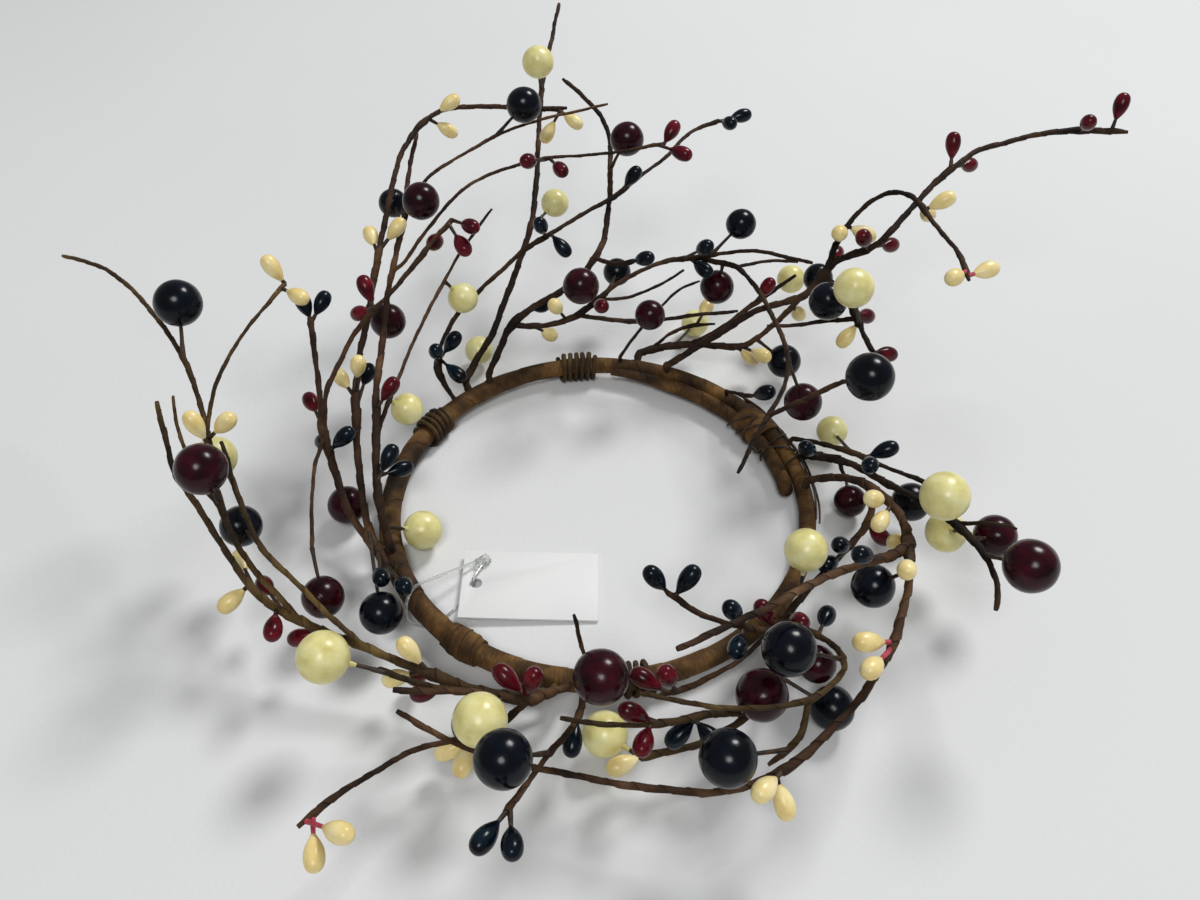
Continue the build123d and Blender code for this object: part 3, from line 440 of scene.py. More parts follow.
def lap_outline(name, points, lap_depth):
    """Returns a closed outline of radius one that grows by the depth of a lap on its way round."""
    bpy.ops.curve.primitive_nurbs_path_add()
    outline = bpy.context.object
    outline.name = name
    outline.data.dimensions = "2D"
    outline.data.splines.clear()
    ring = outline.data.splines.new("POLY")
    ring.points.add(points - 1)
    for i, point in enumerate(ring.points):
        share = i / (points - 1)
        angle = math.tau * lap_round_share * share
        reach = 1 - lap_depth * (1 - share)
        point.co = (reach * math.cos(angle), reach * math.sin(angle), 0, 1)
    ring.use_cyclic_u = True
    return outline


fine_lap = lap_outline("fine lap", 14, 0.20)
broad_lap = lap_outline("broad lap", 32, 0.06)
plain_round = lap_outline("plain round", 10, 0.0)
print("outlines", fine_lap.name, broad_lap.name, plain_round.name)


# %% Tubes
def lay_path(line, radii, lap_pitch=None, closed=False):
    """Adds a curve along a line in millimetres, tilted once round for every pitch if there is one."""
    bpy.ops.curve.primitive_nurbs_path_add()
    path = bpy.context.object
    path.data.splines.clear()
    spline = path.data.splines.new("POLY")
    spline.points.add(len(line) - 1)
    travelled = 0.0
    for i, (spot, radius) in enumerate(zip(line, radii)):
        travelled += (spot - line[i - 1]).length if i else 0.0
        spline.points[i].co = (*(spot * mm), 1)
        spline.points[i].radius = radius * mm
        spline.points[i].tilt = math.tau * travelled / lap_pitch if lap_pitch else 0.0
    spline.use_cyclic_u = closed
    path["length"] = travelled
    return path


def make_tubes(name, paths, outline, material, crisp=35.0):
    """Turns paths into one mesh of capped tubes, with U in units of ten millimetres along each."""
    for path in paths:
        path.data.bevel_mode = "OBJECT"
        path.data.bevel_object = outline
        path.data.use_fill_caps = not path.data.splines[0].use_cyclic_u
    take(*paths)
    bpy.ops.object.convert(target="MESH")
    for path in paths:
        for corner in path.data.uv_layers[0].data:
            corner.uv.x *= path["length"] / 10
    if len(paths) > 1:
        take(*paths)
        bpy.ops.object.join()
    tube = bpy.context.view_layer.objects.active
    close_up(tube)
    return finish(tube, name, material, crisp)


def swell(line, radius, depth, wave, seed=0.0):
    """Returns a radius for each sample of a line, uneven as wound tape is."""
    shift = Vector((seed, 0, 0))
    return [radius * (1 - depth * (0.5 + 0.5 * noise.noise(spot / wave + shift))) for spot in line]


# %% [markdown]
# ## The hoop
# The hoop is steel wire in several laps of brown crepe tape. The laps overlap by half, so the spiral of
# their edges is about a centimetre apart. The tape lies thicker on the left than on the right, where the
# wire's two ends pass each other.

# %% Hoop
hoop_radii = (
    (-60, 2.5), (-30, 2.25), (40, 2.2), (95, 2.45), (150, 2.75), (205, 2.9), (255, 2.75), (300, 2.5),
)
hoop_samples = 720
hoop_laps = 31


def on_hoop(bearing, radius=ring_radius, rise=ring_rise):
    """Returns the place on a level circle about the ring's axis, at a bearing in degrees."""
    angle = math.radians(bearing)
    return Vector((radius * math.cos(angle), radius * math.sin(angle), rise))


def hoop_radius(bearing):
    """Returns the radius of the taped hoop at a bearing."""
    turned = (bearing + 60) % 360 - 60
    for (from_bearing, from_radius), (to_bearing, to_radius) in zip(hoop_radii, hoop_radii[1:]):
        if turned <= to_bearing:
            share = (turned - from_bearing) / (to_bearing - from_bearing)
            return from_radius + (to_radius - from_radius) * share
    return hoop_radii[-1][1]


bearings = [360 * i / hoop_samples for i in range(hoop_samples)]
hoop_line = [on_hoop(bearing) for bearing in bearings]
hoop_widths = [hoop_radius(b) * width for b, width in zip(bearings, swell(hoop_line, 1.03, 0.09, 11.0))]
hoop_path = lay_path(hoop_line, hoop_widths, math.tau * ring_radius / hoop_laps, closed=True)
hoop = make_tubes("taped_hoop", [hoop_path], broad_lap, hoop_tape)
dress(hoop, "ring", "ring_tape", "ring_wrap")

# %% [markdown]
# The hoop's two ends pass each other at the right. The inner strand lies against the other one. It is cut
# off round at its near end, and dwindles where it is bound in at the back.

# %% Overlapping strand
strand_radius = 2.1
strand_reach = 48.8
strand_bearing, strand_turn = 3, 83
strand_steps = 180
tuck_from = 0.75
dwindle_from = 0.70
strand_line, strand_widths = [], []
for i in range(strand_steps + 1):
    share = i / strand_steps
    reach = strand_reach + 1.8 * max(0, share - tuck_from) * 4
    strand_line.append(on_hoop(strand_bearing + strand_turn * share, reach, 3.7 + 0.4 * share))
    wrinkled = 0.95 + 0.05 * noise.noise(strand_line[-1] / 7.0)
    width = strand_radius * wrinkled * (1 - 0.45 * max(0, share - dwindle_from) / 0.3)
    strand_widths.append(width * min(1.0, math.sqrt(max(0.08, 1 - (1 - min(i, 5) / 5) ** 2))))
strand_path = lay_path(strand_line, strand_widths, lap_pitch=9.0)
strand = make_tubes("overlapping_strand", [strand_path], broad_lap, hoop_tape)
dress(strand, "ring", "ring_tape", "overlap_strand")

# %% [markdown]
# ## Bindings
# Three bindings of paper-covered wire hold the sprays to the hoop. Each is one wire wound round and round,
# a little unevenly, sunk into the tape, and pressed flat where the ring stands on it. A collar and a band
# of tape do the same.


# %% Wire bindings
binding_samples = 24
binding_reach = 3.48
tuck_depth = 0.9


def wound(bearing, turns, first_angle=60.0, wire=0.78, pitch=1.78):
    """Returns the line of a wire wound round the hoop's tape, with both ends tucked in."""
    per_turn = math.degrees(pitch / ring_radius)
    start = bearing - turns * per_turn / 2 - per_turn * first_angle / 360
    line = []
    last = turns * binding_samples
    for i in range(last + 1):
        angle = first_angle + 360 / binding_samples * i
        side, lift = math.cos(math.radians(angle)), math.sin(math.radians(angle))
        drift = 0.38 * noise.noise(Vector((bearing, i / 7, 0)))
        tuck = tuck_depth * max(0, 1 - min(i, last - i) / 6)
        reach = binding_reach + 0.12 * noise.noise(Vector((i / 5, bearing, 2.0))) - tuck
        rise = max(ring_rise + reach * lift, wire + 0.02)
        turned = start + per_turn * angle / 360 + math.degrees(drift / ring_radius)
        line.append(on_hoop(turned, ring_radius + reach * side, rise))
    return line


for place_name, bearing, turns in (("back", 97.0, 6), ("left", 149.0, 5), ("front", 279.0, 4)):
    line = wound(bearing, turns)
    wire_path = lay_path(line, swell(line, 0.80, 0.20, 3.0), lap_pitch=12.0)
    binding = make_tubes(f"binding_{place_name}_paper_wire", [wire_path], fine_lap, binding_paper)
    dress(binding, "ring", "binding_wire", f"binding_{place_name}")


# %% Tape collar
def press_flat(piece, floor_height=0.02):
    """Flattens what lies under the table's surface onto it."""
    take(piece)
    bpy.ops.object.mode_set(mode="EDIT")
    bpy.ops.mesh.select_mode(type="VERT")
    bpy.ops.mesh.select_all(action="DESELECT")
    bpy.ops.object.mode_set(mode="OBJECT")
    for point in piece.data.vertices:
        point.select = point.co.z < floor_height * mm
    bpy.ops.object.mode_set(mode="EDIT")
    bpy.ops.transform.resize(value=(1, 1, 0), center_override=(0, 0, floor_height * mm))
    bpy.ops.object.mode_set(mode="OBJECT")


collar_bearing, collar_turn = 230, 10
collar_steps = 50
steps_per_wrap = 12
collar_line, collar_widths = [], []
for i in range(collar_steps + 1):
    share = i / collar_steps
    collar_line.append(on_hoop(collar_bearing + collar_turn * share))
    bulge = 1.05 * math.sin(math.pi * (0.06 + 0.88 * share)) ** 0.55
    collar_widths.append(2.80 + bulge - 0.16 * ((i / steps_per_wrap) % 1))
collar = make_tubes("collar_wraps", [lay_path(collar_line, collar_widths, 2.9)], broad_lap, hoop_tape)
press_flat(collar)
dress(collar, "ring", "collar_tape", "tape_collar")

# %% [markdown]
# The band goes round both strands at once. The frame's plain band is copied, drawn in onto the strands and
# smoothed. Thin lacquered wires, left over from the sprays, criss-cross both strands on either side of it.

# %% Tape band
band_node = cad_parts["tape_band"]
take(band_node)
bpy.ops.object.duplicate()
band = bpy.context.object
band.parent = None
close_up(band)
band_bearing = 33.0
band_middle = on_hoop(band_bearing, 51.0, 4.1)
upright = Matrix.Rotation(math.radians(band_bearing), 4, "Z")
drawn_in = Matrix.Diagonal((0.69, 1.0, 0.69, 1))
there, back = Matrix.Translation(band_middle * mm), Matrix.Translation(-band_middle * mm)
band.data.transform(there @ upright @ drawn_in @ upright.inverted() @ back)
shaped(band, "even faces", "REMESH", mode="VOXEL", voxel_size=0.00030)
shaped(band, "rounded edges", "SMOOTH", factor=0.9, iterations=14)
shaped(band, "folds", "DISPLACE", texture=clouds("band folds", 0.003), strength=0.0010, mid_level=0.6)
finish(band, "band_wraps", band_tape, 60)
dress(band, "ring", "collar_tape", "tape_band")

# %% Crossing wires
strands_middle = (50.95, 4.05)
crossing_reach = 5.15
crossing_steps = 60
crossing = []
for from_bearing, to_bearing, from_angle, turns in (
    (17, 40, 40, 1.5), (19, 31, 190, -1.0), (24, 44, 330, 1.2), (11, 27, 120, -0.8), (26, 38, 20, -1.4),
):
    line = []
    for i in range(crossing_steps + 1):
        share = i / crossing_steps
        angle = math.radians(from_angle + 360 * turns * share)
        bearing = from_bearing + (to_bearing - from_bearing) * share
        around = crossing_reach + 0.12 * noise.noise(Vector((bearing, from_angle, 0.5)))
        reach = strands_middle[0] + around * math.cos(angle)
        line.append(on_hoop(bearing, reach, strands_middle[1] + (around - 2.1) * math.sin(angle)))
    crossing.append(lay_path(line, [0.30] * len(line)))
for radius, rise, seed in ((55.0, 6.0, 0.0), (56.1, 4.6, 4.0)):
    line = []
    for i in range(crossing_steps + 1):
        wander = noise.noise(Vector((i / 14, seed, 0)))
        line.append(on_hoop(42 - 50 * i / crossing_steps, radius + 0.5 * wander, rise + 0.3 * wander))
    crossing.append(lay_path(line, [0.42 - 0.003 * i for i in range(len(line))]))
crossing_wires = make_tubes("crossing_wires", crossing, plain_round, wire_paint)
dress(crossing_wires, "ring", "collar_tape", "tape_band")

# %% [markdown]
# ## Where the sprays go
# Eleven sprays of twigs leave the hoop. Each place is written as it is seen: a pixel column, a pixel row
# and its height over the table in millimetres. A twig's row gives its name, what it leaves, its thickness
# and its places from root to tip. A berry's row gives its colour, size and twig, then its place, and last
# the pixel where its wire leaves. Pips leave a twig in small groups. Their row gives the colour, the twig
# and the pixel where they leave it, and then the place of each pip. A long row goes on in the next line.

# %% Sprays
spray_rows = """
spray left_sweep
twig main hoop thick, 548 706 7, 487 695 10, 430 674 12, 365 648 14, 300 622 17, 255 594 20, 224 548 25,
    200 510 29, 178 480 32, 165 440 35, 157 402 38
twig arch main stem, 300 622 17, 262 580 24, 236 545 30, 221 510 35, 213 470 40, 207 432 43, 196 385 47,
    180 350 49, 160 322 50, 130 285 50, 97 264 48, 63 256 46
twig fork arch twig, 207 432 43, 214 388 47, 234 345 50, 262 310 52, 285 284 53
twig third main stem, 365 648 14, 325 612 20, 290 578 25, 258 545 30, 240 505 34, 229 465 38, 221 442 40
twig stub arch twig, 221 512 35, 200 486 38, 187 458 40, 178 430 42, 173 396 46
twig low main stem, 487 695 10, 440 690 15, 408 681 18, 378 668 20
berry navy large arch, 178 303 56, 183 358
berry burgundy large arch, 201 469 47, 219 505
berry cream medium third, 216 457 31, 235 487
berry navy medium third, 241 526 20, 262 549
berry cream large low, 323 657 24, 392 674
pips cream arch, 209 446, 200 432 45, 225 423 47
pips cream fork, 283 286, 275 271 56, 298 296 53
pips cream main, 252 592, 241 561 18, 231 601 19
pips burgundy main, 282 612, 265 586 15, 274 624 19
pips burgundy main, 322 631, 301 637 13
pips cream main, 430 674, 411 652 16, 400 677 10
pips burgundy low, 445 690, 430 692 13
pips burgundy main, 434 676, 417 677 6
spray left_outer
twig main hoop thick, 362 548 8, 346 508 12, 334 468 18, 322 433 24, 321 395 29, 315 356 34, 310 318 39
twig leaning main stem, 322 430 24, 326 392 32, 338 366 35, 351 338 38, 367 317 42, 390 294 46, 420 257 50,
    437 236 53, 452 220 54
twig hanging main twig, 322 437 24, 314 464 23, 312 510 20, 312 548 18
berry burgundy medium main, 347 505 6, 343 483
berry burgundy medium hanging, 323 597 12, 312 545
pips navy main, 311 322, 304 304 41, 322 302 41
pips burgundy main, 319 425, 311 402 25
pips navy main, 332 452, 343 438 24, 323 442 16
pips burgundy leaning, 374 311, 366 288 47, 360 313 38
pips burgundy leaning, 425 251, 434 243 49
pips burgundy leaning, 447 226, 470 226 56, 462 245 52
spray left_inner
twig main hoop thick, 384 530 15, 377 500 18, 376 460 21, 376 420 25, 377 384 28, 381 345 32, 388 290 37,
    396 253 41, 404 225 44, 408 180 48, 414 145 51, 417 134 52
twig bower hoop thick, 382 562 9, 368 530 12, 360 490 15, 357 440 20, 355 400 24, 359 352 29, 366 325 33,
    374 280 39, 380 247 44, 387 210 49, 394 175 53, 403 148 55, 422 122 57, 443 109 57, 473 106 57,
    509 108 57, 567 108 56
twig reach main twig, 392 272 38, 404 262 42, 418 241 45, 443 210 49, 463 189 52, 494 171 54, 524 163 55,
    560 157 56, 606 153 57, 644 148 57, 664 144 57
twig high main twig, 404 225 44, 413 198 51, 430 174 54, 458 157 56, 496 135 59, 522 125 60, 555 116 62,
    608 104 65
twig back main twig, 376 440 23, 389 401 25, 409 353 28, 425 318 32, 437 296 34, 447 276 37, 460 252 40,
    478 228 43, 492 209 46
berry burgundy medium main, 388 321 26, 379 352
berry navy small main, 393 203 40, 403 228
berry burgundy medium high, 421 201 57, 412 200
berry cream small back, 407 409 21, 389 400
berry cream small back, 463 298 30, 445 280
berry navy medium high, 524 105 67, 496 135
berry cream medium main, 423 530 6, 384 526
berry navy medium bower, 381 613 12, 368 530
pips cream bower, 424 121, 450 103 60, 448 130 53
pips cream bower, 556 108, 571 119 54, 548 133 50
pips burgundy reach, 545 160, 529 161 60, 560 169 56
pips burgundy reach, 660 145, 671 132 59, 681 153 57
pips cream bower, 381 256, 371 236 44, 396 229 47
pips burgundy main, 376 408, 390 388 30
pips cream bower, 355 397, 341 378 26, 358 366 34
pips navy bower, 356 410, 367 374 24
pips navy main, 376 482, 386 463 22, 401 469 18
pips navy bower, 377 550, 381 576 16
pips navy bower, 383 563, 403 585 16
spray back_left
twig main hoop thick, 463 378 9, 478 355 13, 494 334 17, 504 302 22, 515 275 27, 526 243 32, 533 215 37,
    537 178 42, 539 125 47, 541 84 52, 551 43 56, 559 4 60
twig cross hoop stem, 448 389 8, 436 370 13, 439 345 17, 458 312 22, 480 291 27, 500 271 33, 519 254 38,
    536 243 40, 556 230 42, 578 216 43, 606 202 44, 629 186 46, 652 167 48, 670 153 49, 684 138 50,
    700 127 51, 719 121 52
berry cream medium main, 538 62 62, 541 90
berry cream small main, 555 203 36, 530 229
berry cream small main, 479 350 6, 470 363
pips navy cross, 436 362, 452 342 20, 456 373 13
pips navy cross, 436 366, 436 352 22
pips navy cross, 545 237, 541 226 46, 556 240 40
pips navy cross, 621 192, 633 176 50
pips navy cross, 716 122, 729 123 55, 741 116 52
spray back_middle
twig main hoop thick, 484 348 18, 510 324 22, 536 304 25, 563 291 28, 586 272 32, 598 253 36, 604 240 38,
    609 204 42, 611 163 46, 609 132 50, 600 113 53, 580 94 56, 563 79 58
twig low main stem, 510 324 22, 547 327 19, 578 316 21, 600 299 25, 616 284 27, 637 273 30, 662 262 32,
    695 257 35, 748 250 40, 783 255 43, 812 263 46
twig under low stem, 578 316 21, 610 320 20, 634 322 20, 669 319 22, 700 315 24, 738 311 26
twig middle low twig, 600 299 25, 627 298 24, 662 284 27, 684 270 30
twig twig main stem, 597 258 35, 616 264 39, 634 261 41
twig drop low stem, 697 257 35, 716 262 34, 738 266 34, 759 289 34, 776 323 36, 788 349 36, 789 368 36,
    783 392 35, 766 419 33, 750 448 30, 738 473 28
twig side drop twig, 738 266 32, 770 261 34, 798 262 36
twig spur drop stem, 768 415 33, 800 402 38, 826 389 42, 842 382 44
berry burgundy medium main, 581 286 39, 583 275
berry navy small low, 617 272 20, 606 293
berry burgundy medium main, 627 139 55, 611 168
berry burgundy small under, 650 315 28, 634 322
berry burgundy medium drop, 717 287 26, 722 263
berry burgundy medium drop, 803 402 24, 789 362
berry navy small low, 741 224 44, 712 255
berry navy large spur, 870 377 50, 836 385
pips navy twig, 628 262, 643 259 43
pips navy main, 522 314, 542 306 21
pips cream low, 535 327, 549 334 14
pips cream low, 566 320, 556 307 28
pips burgundy low, 592 305, 601 306 29
pips navy low, 684 259, 704 248 42, 702 268 34
spray back_right
twig main hoop thick, 640 347 8, 681 344 10, 715 346 11, 743 347 13, 760 337 16, 775 324 19, 792 306 23,
    804 295 25
twig climb hoop twig, 620 358 8, 638 331 12, 660 308 16, 677 290 20, 700 281 22
twig slant main stem, 688 345 10, 706 337 14, 730 322 19, 754 303 23, 781 286 28, 796 275 31
twig flat main twig, 650 347 8, 668 334 12, 690 325 15, 715 324 17
berry navy medium main, 784 361 8, 757 339
berry cream small main, 695 323 5, 674 344
berry cream small slant, 791 279 21, 770 293
pips cream main, 736 348, 749 356 9, 761 355 15
pips cream flat, 696 325, 706 308 16
pips burgundy slant, 755 302, 767 287 29
pips cream main, 792 306, 798 313 18
spray far_right
twig main hoop thick, 665 356 14, 712 338 21, 752 312 28, 785 302 33, 806 296 36, 822 276 40, 834 261 44,
    855 254 48, 875 246 51, 889 233 54, 914 207 57, 933 184 59, 952 168 61, 977 150 63, 1021 138 65,
    1059 130 67, 1128 132 69
twig hook main stem, 825 272 41, 836 243 49, 849 222 53, 868 203 57, 891 191 61, 911 194 64, 924 209 64,
    938 229 64, 960 253 65, 969 280 65
twig bent main stem, 822 276 40, 846 292 38, 857 318 37, 866 340 37, 873 352 37
twig cut bent stem, 857 318 37, 840 320 34, 822 321 32, 789 326 30, 767 326 29
berry navy small main, 818 278 29, 800 298
berry navy medium bent, 828 301 43, 846 292
berry cream medium bent, 854 288 53, 860 325
pips cream hook, 843 230, 840 233 54, 858 231 51
pips burgundy main, 866 250, 864 239 55, 890 245 47
pips burgundy main, 826 271, 836 254 39
pips cream bent, 858 322, 849 334 34
pips burgundy bent, 857 314, 866 316 33
pips burgundy bent, 872 350, 880 353 36
pips burgundy main, 950 170, 953 144 66, 969 165 58
pips cream hook, 924 209, 943 201 66, 928 214 60
pips cream hook, 966 272, 955 277 67, 987 270 65
pips burgundy main, 1082 130, 1088 123 73
pips burgundy main, 1110 131, 1121 105 74
spray right
twig main hoop thick, 817 449 8, 840 459 10, 865 470 13, 893 487 17, 925 503 21, 955 522 25, 978 546 28,
    990 562 29, 998 585 29, 996 610 28
twig upper hoop stem, 800 431 10, 832 446 14, 862 456 18, 890 470 22, 915 479 25, 930 485 27
twig tip main twig, 955 522 25, 985 521 30, 1017 529 32
twig inner main twig, 840 459 10, 842 470 7, 846 478 6
twig bud hoop twig, 726 391 8, 739 394 12, 751 396 16
berry cream small upper, 832 431 8, 850 452
berry burgundy small inner, 850 501 5, 846 477
berry navy medium main, 911 502 10, 890 486
berry cream large upper, 945 496 34, 926 484
berry cream medium main, 946 532 16, 962 529
berry burgundy medium main, 995 536 22, 972 540
berry burgundy large main, 1031 566 40, 985 556
pips navy bud, 751 396, 764 393 19
pips navy upper, 864 457, 883 451 20, 870 464 22
pips navy main, 822 451, 808 449 13
spray front_right
twig main hoop thick, 812 466 14, 842 476 18, 868 485 22, 885 497 24, 899 514 25, 908 534 26, 910 560 28,
    909 587 29, 903 613 29, 895 642 28, 881 668 27, 856 703 26, 819 743 24, 785 771 22, 744 788 20,
    713 793 18, 638 787 17, 580 778 16, 521 764 15, 489 756 15, 460 745 16, 430 731 18, 397 711 19
twig bough main thick, 909 543 27, 893 556 31, 873 561 33, 840 570 35, 804 588 38, 778 603 40, 715 634 42,
    677 649 43
twig fall main stem, 868 485 22, 873 507 18, 866 528 15, 847 550 13, 824 572 12, 797 602 12, 772 632 12,
    735 664 12, 690 688 12, 655 697 13
twig spur fall stem, 772 632 12, 752 630 17, 733 625 20, 715 619 22, 696 611 24, 668 593 27
berry cream medium fall, 806 550 24, 800 598
berry navy medium main, 873 586 20, 909 570
pips navy fall, 852 545, 841 545 19, 829 564 16
pips navy bough, 885 558, 863 555 39
pips burgundy fall, 867 526, 880 536 12
pips burgundy fall, 788 613, 799 621 17
pips burgundy fall, 676 692, 668 677 19, 648 681 14
pips burgundy fall, 775 629, 767 616 15
pips cream main, 909 540, 897 542 20
pips cream main, 889 501, 875 499 28, 881 521 25
pips cream main, 910 555, 907 569 33
pips cream main, 895 641, 869 642 30, 873 667 31
pips cream main, 784 772, 766 788 24, 784 803 18
pips navy spur, 748 629, 733 611 25, 738 646 20
pips navy spur, 671 595, 655 578 31, 685 583 29
spray front
twig main hoop thick, 803 648 7, 780 685 8, 744 719 9, 701 745 9, 667 752 9, 640 757 9
twig round hoop stem, 812 633 6, 837 646 18, 846 669 24, 833 684 25, 812 699 27, 770 709 29, 722 708 29,
    675 701 28, 640 693 27
twig drop round stem, 808 701 27, 806 722 25, 800 738 24, 787 750 22, 768 765 20
twig cross main stem, 750 714 9, 724 713 15, 703 715 17, 684 720 18, 655 724 18, 600 724 17, 560 718 18
berry navy large round, 789 649 31, 842 660
berry burgundy small main, 817 664 11, 788 671
berry navy medium main, 832 708 6, 785 678
berry burgundy large main, 762 695 18, 785 678
berry navy large drop, 728 758 28, 787 750
berry cream medium main, 605 734 8, 648 755
pips navy round, 818 636, 826 617 10
pips burgundy cross, 660 724, 636 714 21, 644 742 19
pips navy cross, 700 716, 679 735 14, 705 731 16
pips cream main, 641 757, 624 764 9
spray front_left
twig main hoop thick, 560 700 13, 528 702 16, 496 696 18, 473 691 20, 430 691 22, 405 690 23, 393 690 23
twig tail hoop stem, 584 693 11, 580 715 13, 567 735 17, 546 756 21, 529 781 24, 506 812 29
twig far main stem, 528 702 16, 505 722 13, 480 736 11, 446 741 12, 413 749 15, 380 768 20, 335 796 22,
    298 827 23
twig prong hoop twig, 600 690 12, 588 664 24, 580 642 32, 574 615 40
berry burgundy large prong, 601 677 31, 586 660
berry cream large main, 480 720 22, 505 698
berry navy large tail, 503 759 31, 550 752
berry navy medium far, 474 724 6, 490 731
pips burgundy main, 528 702, 507 678 18, 530 684 20
pips cream far, 476 736, 450 749 8, 464 759 11
pips navy tail, 580 715, 573 742 11
pips navy tail, 508 809, 485 838 30, 512 844 31
pips cream far, 312 817, 314 855 22, 338 832 26
"""


# %% Reading the rows
def numbers(text):
    """Returns the whole numbers in a text."""
    return tuple(int(word) for word in text.split())


sprays = {}
for row in spray_rows.replace(",\n    ", ", ").strip().splitlines():
    heading, *spots = row.split(", ")
    kind, *names = heading.split()
    spots = [numbers(spot) for spot in spots]
    if kind == "spray":
        spray = sprays[names[0]] = {"stems": {}, "berries": [], "pips": []}
    elif kind == "twig":
        spray["stems"][names[0]] = (names[1], names[2], spots)
    elif kind == "berry":
        spray["berries"].append((*names, *spots))
    else:
        spray["pips"].append((*names, spots[0], spots[1:]))
print(len(sprays), "sprays,", sum(len(spray["berries"]) for spray in sprays.values()), "berries")

# %% Routes of the twigs
twig_radii = {"thick": 1.25, "stem": 0.85, "twig": 0.65}
spray_tapes = {
    "left_sweep": olive_tape, "front": olive_tape, "right": dark_tape,
    "back_left": dark_tape, "back_middle": dark_tape, "back_right": dark_tape, "far_right": dark_tape,
}
wire_radius = 0.4
seat_gap = 0.3
tape_outer_radius = 3.1
sample_step = 0.8
tip_samples = 4
pip_spacing = 1.6
least_across = 0.35
pointing_on = 0.3
root_depth = 0.8
berry_tie, pips_tie = 0.16, 0.30


def place(spot):
    """Returns the place that a pixel shows at a height, given as (column, row, height)."""
    ray = view_ray(spot)
    return viewpoint + ray * ((spot[2] - viewpoint.z) / ray.z)


def pixel_of(point):
    """Returns the column and row at which a place is seen."""
    arm = point - viewpoint
    depth = arm.dot(view_in)
    column = frame_centre[0] + focal_pixels * arm.dot(view_right) / depth
    return column, frame_centre[1] - focal_pixels * arm.dot(view_up) / depth


class Twig:
    """A twig's samples, where its root goes in, and the places that thin wires leave it from."""

    def __init__(self, places, radius, anchor):
        self.radius = radius
        self.anchor = anchor
        self.samples = evenly(rounded(places), sample_step)
        self.step = (self.samples[1] - self.samples[0]).length
        ahead = self.samples[1:] + self.samples[-1:]
        behind = self.samples[:1] + self.samples[:-1]
        self.headings = [(b - a).normalized() for a, b in zip(behind, ahead)]
        self.knots = []
        self.ties = []

    def nearest(self, pixel):
        """Returns the number of the sample that is seen nearest to a pixel, or the tip's if it is near."""
        last = len(self.samples) - 1

        def miss(i):
            column, row = pixel_of(self.samples[i])
            return (column - pixel[0]) ** 2 + (row - pixel[1]) ** 2

        sample = min(range(last + 1), key=miss)
        return last if sample > last - tip_samples else sample

    def seat(self, i, towards, radius):
        """Returns the place beside sample i where a thin rod towards a place starts."""
        heading = (towards - self.samples[i]).normalized()
        along = heading.dot(self.headings[i])
        across = max(math.sqrt(max(1 - along * along, 0)), least_across)
        out = (self.radius + seat_gap + radius * abs(along)) / across
        if along > pointing_on:
            to_tip = (len(self.samples) - 1 - i) * self.step
            out = min(out, (to_tip + seat_gap + radius * across) / along)
        return self.samples[i] + heading * out

    def pip_sample(self, root, i):
        """Returns the sample that the i-th pip of a group leaves."""
        last = len(self.samples) - 1
        step = round(pip_spacing / sample_step) * i
        sample = root + step if root + step <= last else root - step
        return last if sample >= last - 1 else sample


def trace(stems):
    """Returns the twigs of a spray by name, each from its parent or from the hoop."""
    twigs = {}
    for name, (parent, thickness, spots) in stems.items():
        places = [place(spot) for spot in spots]
        radius = twig_radii[thickness]
        if parent == "hoop":
            core = on_hoop(math.degrees(math.atan2(places[0].y, places[0].x)))
            out = (places[0] - core).normalized()
            places[0] = core + out * (tape_outer_radius + seat_gap + radius)
            anchor = core + out * root_depth
        else:
            fork = twigs[parent].nearest(spots[0])
            places[0] = twigs[parent].seat(fork, places[1], radius)
            anchor = twigs[parent].samples[fork]
            twigs[parent].knots.append((fork, radius))
        twigs[name] = Twig(places, radius, anchor)
    return twigs


traced = {spray: trace(table["stems"]) for spray, table in sprays.items()}
for spray, table in sprays.items():
    ties = [(carrier, leaves_at, berry_tie) for _, _, carrier, _, leaves_at in table["berries"]]
    ties += [(carrier, leaves_at, pips_tie) for _, carrier, leaves_at, _ in table["pips"]]
    for carrier, leaves_at, extra in ties:
        twig = traced[spray][carrier]
        twig.ties.append((twig.nearest(leaves_at), extra))
lengths = [len(twig.samples) * twig.step for twigs in traced.values() for twig in twigs.values()]
print(len(lengths), "twigs,", round(sum(lengths) / 1000, 2), "m of wire in all")

# %% [markdown]
# ## Taped twigs
# A twig's tape is wound tighter than the hoop's. It is uneven in thickness and swells where another twig is
# taped in, and for a centimetre below each berry or group of pips, where their wires run on under the tape.
# It ends in a rough, slightly pinched cut. All the twigs of one spray are one piece. Their small wanderings
# come from a noise that was seeded at the start, so they are the same each time.


# %% Twigs
wander, wander_wave = 0.35, 9.0
held_samples = 6
thick_taper, thin_taper = 0.38, 0.25
tip_pinch, pinch_step = 0.78, 0.07
knot_swelling, knot_reach = 0.32, 7
tie_reach, tie_end = 20, 4


def uneven(line, seed):
    """Returns a line moved a little off its course, as a hand-bent wire is, but held at both ends."""
    last = len(line) - 1
    moved = []
    for i, spot in enumerate(line):
        hold = min(1.0, i / held_samples, (last - i) / held_samples)
        drift = noise.noise_vector(spot / wander_wave + Vector((seed, 3.1, 0))) * wander
        moved.append(spot + drift * hold)
    return moved


